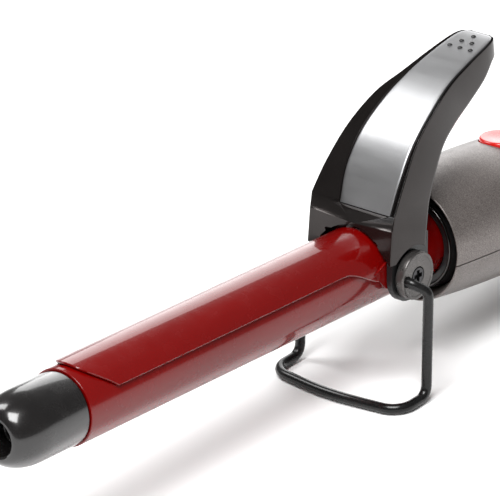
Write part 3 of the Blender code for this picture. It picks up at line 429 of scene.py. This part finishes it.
def satin_finishes():
    """The plastic, painted and small metal finishes of the outside."""
    made = {}

    black = Finish("satin_black_plastic", Metallic=0.0)
    black.colours(black.noise(120, 3), (0.005, 0.005, 0.0055), (0.010, 0.0097, 0.010))
    black.rough(black.noise(500, 4), 0.28, 0.42)
    black.bump((black.noise(2600, 3), 0.000006))
    made["black"] = black.made

    cap = Finish("gunmetal_pivot_cap", Metallic=0.7)
    cap.colours(cap.noise(160, 3), (0.085, 0.08, 0.078), (0.12, 0.112, 0.108))
    cap.rough(cap.noise(600, 3), 0.24, 0.34)
    cap.bump((cap.noise(2200, 3), 0.000004))
    made["cap"] = cap.made

    coat = {"Specular_IOR_Level": 0.3, "Coat_Weight": 0.15, "Coat_Roughness": 0.12}
    wire = Finish("black_coated_wire", Metallic=0.0, **coat)
    wire.colours(wire.noise(180, 3), (0.0035, 0.0035, 0.0037), (0.007, 0.0068, 0.007))
    wire.rough(wire.noise(700, 3), 0.22, 0.34)
    wire.bump((wire.noise(1500, 3), 0.000008))
    made["wire"] = wire.made

    handle = Finish("warm_grey_metal_flake", Metallic=0.55, Coat_Weight=0.25, Coat_Roughness=0.3)
    flake = handle.noise(4200, 2)
    handle.colours(flake, (0.105, 0.090, 0.084), (0.245, 0.218, 0.206), 0.35, 0.70)
    handle.rough(handle.noise(350, 3), 0.36, 0.46)
    handle.bump((flake, 0.00001))
    made["handle"] = handle.made

    trim = Finish("polished_trim_wire", Metallic=1.0)
    trim.colours(trim.noise(400, 2), (0.06, 0.057, 0.055), (0.09, 0.087, 0.085))
    trim.rough(trim.noise(900, 2), 0.16, 0.24)
    trim.bump((trim.noise(2500, 2), 0.000002))
    made["trim"] = trim.made
    return made


# Inner finishes: name, dark and light colour, metallic, lowest and highest roughness, grain and its depth.
INNER_FINISHES = {
    "dark_steel": ("blackened_screw_steel", (0.035, 0.035, 0.038), (0.07, 0.068, 0.07), 0.9, 0.28, 0.4),
    "steel": ("plain_steel", (0.38, 0.38, 0.385), (0.48, 0.475, 0.47), 1.0, 0.28, 0.42),
    "aluminium": ("cast_aluminium", (0.52, 0.52, 0.525), (0.62, 0.62, 0.615), 1.0, 0.35, 0.5),
    "ceramic": ("heater_ceramic", (0.66, 0.63, 0.56), (0.78, 0.75, 0.68), 0.0, 0.5, 0.68, 900, 0.00002),
    "board": ("green_circuit_board", (0.012, 0.085, 0.03), (0.02, 0.13, 0.045), 0.0, 0.3, 0.45),
    "brass": ("contact_brass", (0.55, 0.38, 0.13), (0.66, 0.47, 0.18), 1.0, 0.25, 0.38),
    "glass": ("amber_glass_bead", (0.34, 0.17, 0.04), (0.48, 0.26, 0.07), 0.0, 0.08, 0.16),
    "sleeve": ("woven_lead_sleeve", (0.50, 0.47, 0.40), (0.64, 0.61, 0.53), 0.0, 0.65, 0.8, 2600, 0.00004),
}

FINISH = {**coated_finishes(), **satin_finishes()}
FINISH.update({key: plain(*values) for key, values in INNER_FINISHES.items()})

CARRIED = {
    "ceramic": ("heater_core", "front_insulator", "rear_insulator"),
    "aluminium": ("heater_block_upper", "heater_block_lower", "capacitor"),
    "steel": ("thermal_fuse", "pivot_block", "lever_spring"),
    "glass": ("temperature_sensor",),
    "sleeve": ("heater_lead_live", "heater_lead_neutral"),
    "dark_steel": ("pivot_screw_left", "pivot_screw_right", "handle_screw_1", "handle_screw_2"),
    "board": ("control_board",),
    "black": ("tact_switch", "triac", "control_chip", "lever_liner_left", "lever_liner_right"),
    "lens": ("indicator_led",),
    "brass": ("contact_brush_live", "contact_brush_neutral", "slip_ring_live", "slip_ring_neutral"),
}
for finish_name, node_names in CARRIED.items():
    for node_name in node_names:
        node = NODES[node_name]
        node.data.materials.clear()
        node.data.materials.append(FINISH[finish_name])


def wear(piece, finish, body, slot, *nodes):
    """Gives the piece its finish and its body, and hides the CAD nodes it stands for. The slot is not used."""
    piece.data.materials.clear()
    piece.data.materials.append(FINISH[finish])
    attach(piece, body)
    if nodes:
        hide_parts(*nodes)


# ---- barrel, tip and clamp ----


def make_barrel():
    """A tube: a thin rectangle of wall, its corners rounded, carried round the iron's axis."""
    bore = BARREL_RADIUS - BARREL_WALL
    front, tail = BARREL_FRONT, BARREL_TAIL
    outline = [(front, bore), (tail, bore), (tail, BARREL_RADIUS), (front, BARREL_RADIUS)]
    barrel = turned("barrel_sleeve", outline, (0.15, 0.15, 0.15, 0.25), steps=160)
    cross_holes(barrel, 5.0, 12.0)
    shade(barrel, 35)
    wear(barrel, "red", "body", "red_coating", "barrel_tube")


def make_tip():
    """A hollow cap: a straight side, a quarter ellipse in to the rim of a blind hole, and a spigot behind."""
    turn = np.linspace(0, math.pi / 2, 28)
    rim = TIP_HOLE + 0.5
    nose = np.stack([TIP_NOSE + 9.5 * (1 - np.sin(turn)), rim + (TIP_RADIUS - rim) * np.cos(turn)], 1)
    hole_end = TIP_NOSE + TIP_HOLE_DEPTH
    hole = [(TIP_NOSE + 0.35, TIP_HOLE), (hole_end, TIP_HOLE - 0.3), (hole_end, 0.0)]
    bore_end, spigot_end = hole_end + 2.0, TIP_SEAM + SPIGOT_LENGTH
    behind = [
        (bore_end, 0.0), (bore_end, TIP_BORE), (spigot_end, TIP_BORE), (spigot_end, SPIGOT_RADIUS),
        (TIP_SEAM, SPIGOT_RADIUS), (TIP_SEAM, TIP_RADIUS),
    ]
    outline = np.concatenate([behind, nose, hole])
    radii = [0, 0.3, 0.1, 0.3, 0.1, 0.35] + [0.02] * len(nose) + [0.2, 0.3, 0]
    tip = turned("cool_tip_shell", outline, radii, steps=160, corner_steps=3, smooth_angle=50)
    wear(tip, "tip", "body", "dark_gloss", "cool_tip")


def clamp_skins():
    """The trough's outer and inner skins: at each place along it a band of the tube between two long edges.

    The edges' angle falls to level over the flare, on a smooth step. The front edge is bowed back at its
    corners by the share of the width to the power 2.6, which fades as a square over the bow's length.
    """
    front, rear = CLAMP_FRONT, CLAMP_REAR
    flare = rear - 3.0 - CLAMP_FLARE
    x = np.concatenate([
        front + CLAMP_BOW_LENGTH * np.linspace(0, 1, 25) ** 1.4,
        np.linspace(front + CLAMP_BOW_LENGTH + 2, flare, 16),
        np.linspace(flare, rear, 22)[1:],
    ])
    low = EDGE_ANGLE * (1 - smooth_step((x - flare) / CLAMP_FLARE))
    share = np.linspace(0, 1, CLAMP_COLUMNS)[None, :]
    angle = low[:, None] + (math.pi - 2 * low[:, None]) * share
    fade = np.maximum(0.0, 1 - (x - front) / CLAMP_BOW_LENGTH)[:, None] ** 2
    along = x[:, None] + CLAMP_BOW * fade * np.abs(np.cos(angle) / math.cos(EDGE_ANGLE)) ** 2.6
    return [np.stack([along, r * np.cos(angle), r * np.sin(angle)], -1) for r in (CLAMP_OUTER, CLAMP_INNER)]


def past_edge(edge, neighbour, middle):
    """Points a little past a long edge, which round it off."""
    step = neighbour - edge
    return middle - 0.22 * step / np.linalg.norm(step, axis=1, keepdims=True)


def clamp_ends(n, m):
    """The faces that close both ends of the trough, between its outer and inner skins."""
    first = np.array([0, (n - 1) * m])[:, None]
    k = np.arange(CLAMP_COLUMNS - 1)
    quads = np.stack([first + k, first + k + 1, first + m - 3 - k, first + m - 2 - k], -1)
    left = first + [m - 1, 0, m - 2]
    right = first + [CLAMP_COLUMNS - 1, CLAMP_COLUMNS, CLAMP_COLUMNS + 1]
    return quads.reshape(-1, 4).tolist() + left.tolist() + right.tolist()


def clamp_ear(side):
    """A flat plate round the pivot: a long arc, with a straight foot that runs into the trough."""
    turn = np.radians(np.linspace(-150, 66, 40))
    arc = EAR_RADIUS * np.stack([np.cos(turn), np.sin(turn)], 1)
    x, z = np.concatenate([[[-11.2, 2.5], [-7.2, -2.0]], arc, [[0.0, 7.2]]]).T
    faces_y = sorted((side * CLAMP_INNER, side * CLAMP_OUTER))
    rings = np.stack([np.stack([x, np.full(len(x), y), z], -1) for y in faces_y])
    return new_piece("cutter", *skin(to_world(rings)))


def make_clamp():
    """The trough's outer and inner skins joined by rounded edges, with a flat round ear on each side."""
    outer, inner = clamp_skins()
    middle = (outer + inner) / 2
    left = past_edge(outer[:, 0], outer[:, 1], middle[:, 0])[:, None]
    right = past_edge(outer[:, -1], outer[:, -2], middle[:, -1])[:, None]
    ring = np.concatenate([outer, right, inner[:, ::-1], left], 1)
    centre = (ring + np.concatenate([inner, right, outer[:, ::-1], left], 1)) / 2
    shrunk = centre + (ring - centre) * 0.55
    lip = np.array([0.16, 0, 0])
    rows = np.concatenate([shrunk[:1] - lip, ring, shrunk[-1:] + lip])
    points, faces = skin(to_world(rows), caps=False)
    clamp = new_piece("clamp_shell", points, faces + clamp_ends(*rows.shape[:2]), 40)
    for side in (1, -1):
        cut(clamp, clamp_ear(side), "UNION")
    cross_holes(clamp, 8.0, 12.0)
    shade(clamp, 40)
    wear(clamp, "red", "lever", "red_coating", "clamp_plate")


# ---- lever ----


def lever_stations():
    """From the base to the end: rim, plate and underside, each as (x, z, half width).

    Above the crease they are shares of the lever's reach, of its rise over the crease and of the rim's width.
    """
    crease = ARCH_RADIUS + 3.0
    rise = HEIGHT - crease
    shares = [
        ((-0.055, 0.30), (0.018, 0.255), (0.225, 0.215), (0.94, 0.66, 0.96)),
        ((0.100, 0.548), (0.142, 0.495), (0.352, 0.42), (0.835, 0.635, 0.84)),
        ((0.306, 0.740), (0.328, 0.694), (0.505, 0.535), (0.73, 0.585, 0.73)),
        ((0.503, 0.847), (0.510, 0.833), (0.692, 0.628), (0.595, 0.515, 0.605)),
        ((0.70, 0.932), (0.70, 0.925), (0.845, 0.735), (0.525, 0.475, 0.535)),
        ((0.89, 1.000), (0.89, 0.995), (0.928, 0.825), (0.465, 0.430, 0.47)),
        ((0.968, 1.02), (0.968, 1.015), (0.985, 0.86), (0.38, 0.35, 0.385)),
        ((0.998, 1.018), (0.998, 1.013), (1.003, 0.885), (0.22, 0.19, 0.225)),
    ]
    rows = [
        ((-8.5, CHEEK_BOTTOM, RIM), (-7.0, CHEEK_BOTTOM, ARCH_RADIUS - 0.6), (4.6, CHEEK_BOTTOM, CHEEK)),
        ((-7.6, ARCH_RADIUS + 1.8, RIM), (-6.8, ARCH_RADIUS + 0.8, 0.5), (5.0, 10.5, CHEEK)),
        ((-6.9, crease + 2.8, RIM), (-2.3, crease, 0.62 * RIM), (7.2, 16.5, 0.92 * CHEEK)),
    ]
    for *places, widths in shares:
        row = [(REACH * x, crease + rise * z, RIM * width) for (x, z), width in zip(places, widths)]
        rows.append(row)
    return np.array(rows)


def through(rows, steps):
    """A smooth curve through the rows, the usual four-point cubic, with this many steps between neighbours."""
    before = np.concatenate([rows[:1], rows[:-1]])[:-1]
    first, second = rows[:-1], rows[1:]
    after = np.concatenate([rows[1:], rows[-1:]])[1:]
    t = np.linspace(0, 1, steps, endpoint=False).reshape((1, steps) + (1,) * (rows.ndim - 1))
    b, f, s, a = (part[:, None] for part in (before, first, second, after))
    square = 2 * b - 5 * f + 4 * s - a
    cube = 3 * f - b - 3 * s + a
    curve = 0.5 * (2 * f + (s - b) * t + square * t**2 + cube * t**3)
    return np.concatenate([curve.reshape((-1,) + rows.shape[1:]), rows[-1:]])


def inward_of(stations):
    """The unit direction from the rim to the underside at each station, as (x, z)."""
    inward = stations[:, 2, :2] - stations[:, 0, :2]
    return inward / np.linalg.norm(inward, axis=1, keepdims=True)


def lever_sections(stations, seat=0.0, rim_drop=0.0, narrow=0.0, reach=0.0, radii=(0.12, 0.5, 1.3), steps=5):
    """Closed six-cornered sections, each corner rounded, less so where the lever is narrow.

    The plate and the rim are sunk, the sides drawn in and the underside moved outwards by their amounts.
    """
    half_widths = stations[:, :, 2] - narrow * np.array([1.0, 0.6, 1.0])
    depths = [np.zeros(len(stations)) + depth for depth in (rim_drop, seat, reach)]
    places = stations[:, :, :2] + inward_of(stations)[:, None] * np.stack(depths, 1)[:, :, None]
    left = np.stack([places[..., 0], half_widths, places[..., 1]], -1)[:, [1, 0, 2]]
    corners = np.concatenate([left, left[:, ::-1] * [1, -1, 1]], 1)
    sizes = np.minimum(1.0, stations[:, 2, 2] / 4.0)
    both = np.array(radii + radii[::-1])
    return np.array([rounded(section, both * size, steps) for section, size in zip(corners, sizes)])


def lever_hollow(upper):
    """The tool that hollows the lever from below: its sections, a wall inside the outer ones."""
    sunk = upper[:1] - np.array([0, 4.0, 0])
    rows = np.concatenate([sunk, upper[:-30]])
    depth = PLATE_SEAT + LEVER_WALL
    sections = lever_sections(rows, depth, depth, LEVER_WALL, 5.0, (0.1, 0.4, 0.4), 3)
    return new_piece("cutter", *skin(to_world(sections)))


def make_lever():
    """The hooded lever: six-cornered sections along a smooth curve from its cheeks to its end.

    It is hollowed from below, arched over the clamp, notched round the pivot, let out for the liners and
    relieved where it swings down over the barrel.
    """
    rough = lever_stations()
    upper = through(rough[2:], 9)
    cheeks = through(rough[:2], 4)[:-1]
    turn_in = through(np.stack([rough[1], (rough[1] + rough[2]) / 2, rough[2]]), 3)[:-1]
    seats = np.full(len(upper), PLATE_SEAT)
    seats[-5:] = (0.9, 0.5, 0.2, 0.0, 0.0)  # the recess runs out before the end
    outer = np.concatenate([lever_sections(np.concatenate([cheeks, turn_in])), lever_sections(upper, seats)])
    lever = new_piece("lever_hood", *skin(to_world(outer)), 32)
    cut(lever, lever_hollow(upper))
    cut(lever, rod("X", -30, 30, ARCH_RADIUS, steps=160))
    cut(lever, rod("X", 0, 30, SWING_RADIUS, steps=160, tilt=-LEVER_SWING))
    cut(lever, rod("Y", -30, 30, NOTCH_RADIUS))
    pocket = block_corners((-7.3, -CAP_INNER, 0), (20, CAP_INNER, 9.3))
    cut(lever, new_piece("cutter", to_world(pocket), BLOCK_FACES))
    tidy(lever.data, 32)
    wear(lever, "lever", "lever", "lever_chrome", "lever_shell")
    return upper


def make_plate(upper):
    """The bright plate: a strip that follows the lever's recess, its top's two long edges rounded down."""
    stations = upper[:-5]
    edge_share = np.array([0.8, 0.94, 0.975, 0.995, 1.0])
    edge_drop = np.array([0, 0, 0.05, 0.16, 0.3])
    share = np.concatenate([-edge_share[::-1], [-0.6, -0.4, -0.2, 0, 0.2, 0.4, 0.6], edge_share])
    drop = np.concatenate([edge_drop[::-1], np.zeros(7), edge_drop])
    y = (stations[:, 1, 2] - FIT)[:, None] * share

    def sheet(depth):
        """The strip's surface at a depth under the plate's line, for each column."""
        x, z = np.moveaxis(stations[:, 1, None, :2] + inward_of(stations)[:, None] * depth[:, None], -1, 0)
        return np.stack([x, y, z], -1)

    rows = np.concatenate([sheet(drop), sheet(np.full(len(share), PLATE_THICKNESS))[:, ::-1]], 1)
    strip = new_piece("lever_face_plate", *skin(to_world(rows)), 40)
    wear(strip, "plate", "lever", "lever_mirror", "lever_top_plate")


def make_pips(upper):
    """Low domes, quarter ellipses turned on a foot, in rows of one, two and three from the lever's end."""
    line = upper[:, 1, :2]
    first, last = line[-28], line[-10]
    slope = math.atan2(last[1] - first[1], last[0] - first[0])
    places = []
    for row, count in ((0, 1), (1, 2), (2, 3)):
        x = last[0] - 1.6 - row * 0.85 * PIP_PITCH
        z = np.interp(x, line[-60:, 0], line[-60:, 1])
        places += [(x, (k - (count - 1) / 2) * PIP_PITCH, z) for k in range(count)]
    rise = np.linspace(0, math.pi / 2, 9)[1:]
    turn = np.linspace(0, TAU, 28, endpoint=False)
    radius = PIP_RADIUS * np.concatenate([[1, 1], np.cos(rise)])
    height = np.concatenate([[-0.25, 0.05], 0.05 + PIP_HEIGHT * np.sin(rise)])
    x, y = radius[:, None] * np.cos(turn), radius[:, None] * np.sin(turn)
    z = np.repeat(height[:, None], len(turn), 1)
    c, s = math.cos(slope), math.sin(slope)
    dome = np.stack([x * c - z * s, y, x * s + z * c], -1)
    points, faces = [], []
    for k, place in enumerate(places):
        more, polygons = skin(to_world(dome + np.array(place)))
        faces += [[index + len(more) * k for index in face] for face in polygons]
        points.append(more)
    pips = new_piece("lever_grip_pips", np.concatenate(points), faces, 60)
    wear(pips, "black", "lever", "lever_chrome")


# ---- pivot caps and stand ----


def make_caps():
    """Discs on the pivot's axis, each with a raised rim, a recess for its screw and a socket for the wire."""
    socket = (SOCKET_OFFSET * -math.cos(SOCKET_RISE), 0, SOCKET_OFFSET * math.sin(SOCKET_RISE))
    inner, outer, recess = CAP_INNER, CAP_OUTER, CAP_INNER + 0.5
    face = outer - 0.12
    profile = [
        (inner, 2.0), (inner, CAP_RADIUS), (outer, CAP_RADIUS), (outer, CAP_RADIUS - 0.9),
        (face, CAP_RADIUS - 1.0), (face, 2.4), (recess, 2.4), (recess, 2.0),
    ]
    radii = (0.1, 0.3, 0.45, 0.1, 0.1, 0.12, 0.05, 0.05)
    for side, name in ((1, "left"), (-1, "right")):
        outline = [(side * y, radius) for y, radius in profile]
        cap = turned(f"pivot_cap_disc_{name}", outline, radii, axis="Y", smooth_angle=40)
        ends = sorted((side * 13.3, side * 20))
        cut(cap, rod("Y", *ends, WIRE_RADIUS + 0.2, socket, steps=40))
        shade(cap, 40)
        wear(cap, "cap", "stand", "black_plastic", f"pivot_cap_{name}")


def make_stand():
    """A round wire out of one cap, down a leg, forward and across in a bowed foot, and up the other leg."""
    slope = -LONG[2] / LONG[0]

    def foot(x):
        """The height of the surface under the iron, in the iron's own axes, raised by the wire."""
        return -STAND_DROP + slope * (x - STAND_FRONT)

    socket_x, socket_z = -SOCKET_OFFSET * math.cos(SOCKET_RISE), SOCKET_OFFSET * math.sin(SOCKET_RISE)
    corner = STAND_FRONT + 2.4
    half = [
        (socket_x, CAP_INNER + 0.9, socket_z),
        (socket_x, CAP_OUTER + 1.2, socket_z),
        (-1.8, STAND_SPREAD - 0.4, socket_z - 2.0),
        (STAND_LEAN, STAND_SPREAD, foot(STAND_LEAN)),
        (corner, STAND_SPREAD, foot(corner)),
    ]
    other = [(x, -y, z) for x, y, z in half[::-1]]
    radii = (1.5, 2.4, 3.0, 5.5)
    route = arc_route(half + [(STAND_FRONT, 0, foot(STAND_FRONT))] + other, radii + (60,) + radii[::-1])
    stand = tube("stand_bail", resampled(route, 0.45), WIRE_RADIUS, (0.7, 0, -0.7), sides=28)
    wear(stand, "wire", "stand", "coated_wire", "stand_wire")


# ---- handle ----


def handle_centre(x):
    """The handle's middle drops 9 mm below the barrel's axis, on a smooth step."""
    return -9.0 * smooth_step((x - 30) / 101.0)


def handle_radius(x):
    """Out to the belly on a quarter sine, in on a smooth step, and rounded off by a quarter ellipse."""
    swell = 15.3 + 1.9 * np.sin(math.pi / 2 * np.clip((x - HANDLE_FRONT) / 26.5, 0, 1))
    taper = 17.2 - 4.8 * smooth_step((x - 60) / 79.0)
    radius = np.where(x < 42, swell, taper)
    over = np.clip((x - TAIL_ROUND_START) / (HANDLE_TAIL - TAIL_ROUND_START), 0, 1)
    return 7.6 + (radius - 7.6) * np.sqrt(1 - over**2)


def handle_profile():
    """The wall's places and radii, down the outer skin and back up the inner one, and the outer skin's count.

    The mouth's rim is half an ellipse. The inner skin is the funnel, the collar's seat, then the wall's
    thickness inside the outer skin, and the gland's bore. Each inner point lies by an outer one.
    """
    start, end = SEAT_END + 0.4, TAIL_ROUND_START
    tail = end + 7.8 * np.sin(np.linspace(0.12, math.pi / 2, 14))
    mouth = [16.3, 17.5, 18.7, 20.0, 24.0, SEAT_END, SEAT_END + 0.2]
    x = np.concatenate([mouth, np.linspace(start, end, 70), tail])
    body = np.linspace(start, end, 30)
    keys = np.concatenate([[16.3, 20.0, SEAT_END + 0.1, SEAT_END + 0.15], body, [146.45, 146.5, HANDLE_TAIL]])
    sizes = np.concatenate([[14.55, 13.3, 13.3, 15.0], handle_radius(body) - HANDLE_WALL, [9.9, 6.3, 6.3]])
    lip = np.linspace(0, math.pi / 2, 5)
    lip_x, lip_half = 15.95 - 0.45 * np.cos(lip), 0.33 * np.sin(lip)
    outer_x = np.concatenate([lip_x, x])
    outer_r = np.concatenate([15.0 + lip_half, handle_radius(x)])
    inner_x = np.concatenate([lip_x, np.minimum(x, 150.7)])[:0:-1]
    inner_r = np.concatenate([15.0 - lip_half, np.interp(x, keys, sizes)])[:0:-1]
    return np.concatenate([outer_x, inner_x]), np.concatenate([outer_r, inner_r]), len(outer_x)


def parting_faces(n, m, outer_count):
    """The faces that close a shell along both its parting edges, between its outer and inner skins."""
    column = np.array([0, m - 1])[:, None]
    i = np.arange(1, outer_count - 1)
    quads = np.stack([row * m + column for row in (i, i + 1, n - 1 - i, n - i)], -1)
    return quads.reshape(-1, 4).tolist() + (np.array([0, m, (n - 1) * m]) + column).tolist()


def make_handle():
    """Two half tubes: the wall swept round a drooping middle, above and below a level parting line."""
    x, r, outer_count = handle_profile()
    for sign, name in ((1, "upper"), (-1, "lower")):
        low = np.arcsin(np.clip((-PARTING + sign * FIT / 2) / r, -1, 1))
        far = sign * math.pi - low
        angle = low[:, None] + (far - low)[:, None] * np.linspace(0, 1, 73)
        along = np.repeat(x[:, None], angle.shape[1], 1)
        height = handle_centre(x)[:, None] + r[:, None] * np.sin(angle)
        rows = np.stack([along, r[:, None] * np.cos(angle), height], -1)
        points, faces = skin(to_world(rows), wrap_rows=True, wrap_columns=False)
        shell = new_piece(f"handle_{name}_moulding", points, faces + parting_faces(*angle.shape, outer_count))
        if name == "upper":
            cut(shell, rod("Z", 0, 40, BUTTON_RADIUS + FIT, (BUTTON_PLACE, 0, 0)))
        else:
            under_floor = block_corners((-0.3, -0.1, -0.05), (0.5, 0.1, 0.0))
            cut(shell, new_piece("cutter", under_floor, BLOCK_FACES))
            for place in SCREW_PLACES:
                well_end = float(handle_centre(place) - handle_radius(place)) + 4.5
                cut(shell, rod("Z", -60, well_end, SCREW_WELL, (place, 0, 0), steps=48))
        tidy(shell.data, 35)
        wear(shell, "handle", "body", "handle_grey", f"handle_{name}_shell")


def make_collar():
    """A ring turned round the barrel with a groove in its face, and a thin round wire in the groove."""
    front, rear = COLLAR_FRONT, COLLAR_REAR
    bore, outside = BARREL_RADIUS + FIT, 13.0
    groove = RING_WIRE + 0.12
    low, high = RING_RADIUS - groove, RING_RADIUS + groove
    outline = [
        (front, bore), (front, low), (front + groove, low), (front + groove, high),
        (front, high), (front + 3, outside), (rear, outside), (rear, bore),
    ]
    collar = turned("barrel_collar_ring", outline, (0.3, 0.1, 0.05, 0.05, 0.1, 0.6, 0.2, 0.2), steps=160)
    wear(collar, "black", "body", "black_plastic", "barrel_collar")
    turn = np.linspace(0, TAU, 20, endpoint=False)
    circle = [front - FIT, RING_RADIUS] + RING_WIRE * np.stack([np.cos(turn), np.sin(turn)], 1)
    trim = turned("collar_trim_wire", circle, [0.02] * 20, steps=160, corner_steps=1, smooth_angle=60)
    wear(trim, "trim", "body", "bright_trim", "collar_ring")


def make_button():
    """A round lens cap: a stem, a skirt, a rounded shoulder and a slightly dished crown."""
    crown = float(handle_centre(BUTTON_PLACE) + handle_radius(BUTTON_PLACE)) + BUTTON_PROUD
    foot, stem, skirt = 2.35, 1.6, crown - 4.4
    outline = [
        (foot, 0.0), (foot, stem), (skirt, stem), (skirt, BUTTON_RADIUS),
        (crown, BUTTON_RADIUS), (crown - 0.05, 3.6), (crown - 0.35, 0.0),
    ]
    radii = (0, 0.1, 0.3, 0.2, 0.7, 1.2, 0)
    button = turned("power_button_lens", outline, radii, (BUTTON_PLACE, 0, 0), "Z")
    wear(button, "lens", "button", "red_lens", "power_button")


def make_gland():
    """The swivel socket: a spindle, a flange, a neck with one groove and a rounded mouth."""
    inside, end = 146.2, 155.0
    flange, spindle, mouth = inside - 2, inside - 10, end - 9
    spindle_radius, flange_radius, neck, groove, bore = 3.6, 8, 6, 5.6, 3.8
    outline = [
        (spindle, 0), (spindle, spindle_radius), (flange, spindle_radius), (flange, flange_radius),
        (inside, flange_radius), (inside, neck), (end - 2.6, neck), (end - 2.4, groove),
        (end - 2.0, groove), (end - 1.8, neck), (end, neck - 0.1), (end, bore), (mouth, bore), (mouth, 0),
    ]
    radii = (0, 0.2, 0.1, 0.4, 0.3, 0.1, 0.1, 0.1, 0.1, 0.1, 0.8, 0.4, 0.2, 0)
    gland = turned("cord_gland_socket", outline, radii, (0, 0, float(handle_centre(HANDLE_TAIL))))
    wear(gland, "black", "gland", "black_plastic", "cord_gland")


# ---- studio ----


def placed(right, up, back, place):
    """The matrix of a thing at a place, with its own axes along the three directions."""
    rows = np.column_stack([right, up, back, place]).tolist()
    return Matrix(rows + [[0, 0, 0, 1]])


def make_camera():
    """Looks down on the iron from its tip's side, a little over a metre away, with a long lens."""
    up, back = (v[0] * LONG + v[1] * ACROSS + v[2] * RISE for v in (CAMERA_UP, CAMERA_BACK))
    back = back / np.linalg.norm(back)
    up = up - back * (up @ back)
    up = up / np.linalg.norm(up)
    right = np.cross(up, back)
    eye = PIVOT - right * CAMERA_ASIDE + up * CAMERA_RAISED + back * CAMERA_DISTANCE
    data = bpy.data.cameras.new("camera")
    data.sensor_width = 36
    data.lens = LENS
    data.clip_start, data.clip_end = 0.05, 20
    camera = bpy.data.objects.new("camera", data)
    bpy.context.scene.collection.objects.link(camera)
    camera.matrix_world = placed(right, up, back, eye)
    bpy.context.scene.camera = camera


def soft_box(name, place, target, size, watts):
    """A rectangular light that faces the target. Both places are from the pivot along the iron's own axes."""
    axes = np.stack([LONG, ACROSS, RISE])
    place, target = PIVOT + place @ axes, PIVOT + target @ axes
    data = bpy.data.lights.new(name, "AREA")
    data.shape = "RECTANGLE"
    data.size, data.size_y = size
    data.energy = watts
    light = bpy.data.objects.new(name, data)
    bpy.context.scene.collection.objects.link(light)
    toward = (target - place) / np.linalg.norm(target - place)
    side = np.cross(toward, [0, 0, 1.0])
    side /= np.linalg.norm(side)
    light.matrix_world = placed(side, np.cross(side, toward), -toward, place)


def make_world():
    """White where the camera sees past the floor, but dim and slightly warm for light and reflections."""
    world = bpy.data.worlds.new("studio")
    bpy.context.scene.world = world
    world.use_nodes = True
    tree = world.node_tree
    dim = tree.nodes["Background"]
    dim.inputs["Color"].default_value = (1.0, 0.985, 0.97, 1)
    dim.inputs["Strength"].default_value = 0.2
    bright = tree.nodes.new("ShaderNodeBackground")
    bright.inputs["Color"].default_value = (1, 1, 1, 1)
    bright.inputs["Strength"].default_value = 1.1
    mix = tree.nodes.new("ShaderNodeMixShader")
    path = tree.nodes.new("ShaderNodeLightPath")
    tree.links.new(path.outputs["Is Camera Ray"], mix.inputs["Fac"])
    tree.links.new(dim.outputs["Background"], mix.inputs[1])
    tree.links.new(bright.outputs["Background"], mix.inputs[2])
    tree.links.new(mix.outputs["Shader"], tree.nodes["World Output"].inputs["Surface"])


def make_floor():
    """A flat square of pale paper just under the iron."""
    side, level = 3.0, -0.0002
    corners = [(-side, -side, level), (side, -side, level), (side, side, level), (-side, side, level)]
    mesh = bpy.data.meshes.new("studio_floor")
    mesh.from_pydata(corners, [], [(0, 1, 2, 3)])
    floor = bpy.data.objects.new("studio_floor", mesh)
    bpy.context.scene.collection.objects.link(floor)
    paper = bpy.data.materials.new("pale_paper")
    paper.use_nodes = True
    shader = paper.node_tree.nodes["Principled BSDF"]
    shader.inputs["Base Color"].default_value = (0.93, 0.93, 0.93, 1)
    shader.inputs["Roughness"].default_value = 0.9
    mesh.materials.append(paper)


def make_studio():
    """The key light over the tip, a light over the lever's plate and a broad one behind the handle."""
    make_camera()
    make_world()
    soft_box("key_light", (-0.55, -0.25, 0.95), (-0.04, 0, 0), (0.6, 0.6), 18)
    soft_box("overhead_light", (-0.2, 0.62, 0.86), (0.01, 0, 0.03), (0.36, 0.5), 5.4)
    soft_box("back_light", (1.05, 0.45, 0.42), (-0.03, 0, 0), (1.3, 0.8), 9)
    make_floor()
    bpy.context.scene.view_settings.view_transform = "Standard"


make_barrel()
make_tip()
make_clamp()
lever_curve = make_lever()
make_plate(lever_curve)
make_pips(lever_curve)
make_caps()
make_stand()
make_handle()
make_collar()
make_button()
make_gland()
make_studio()
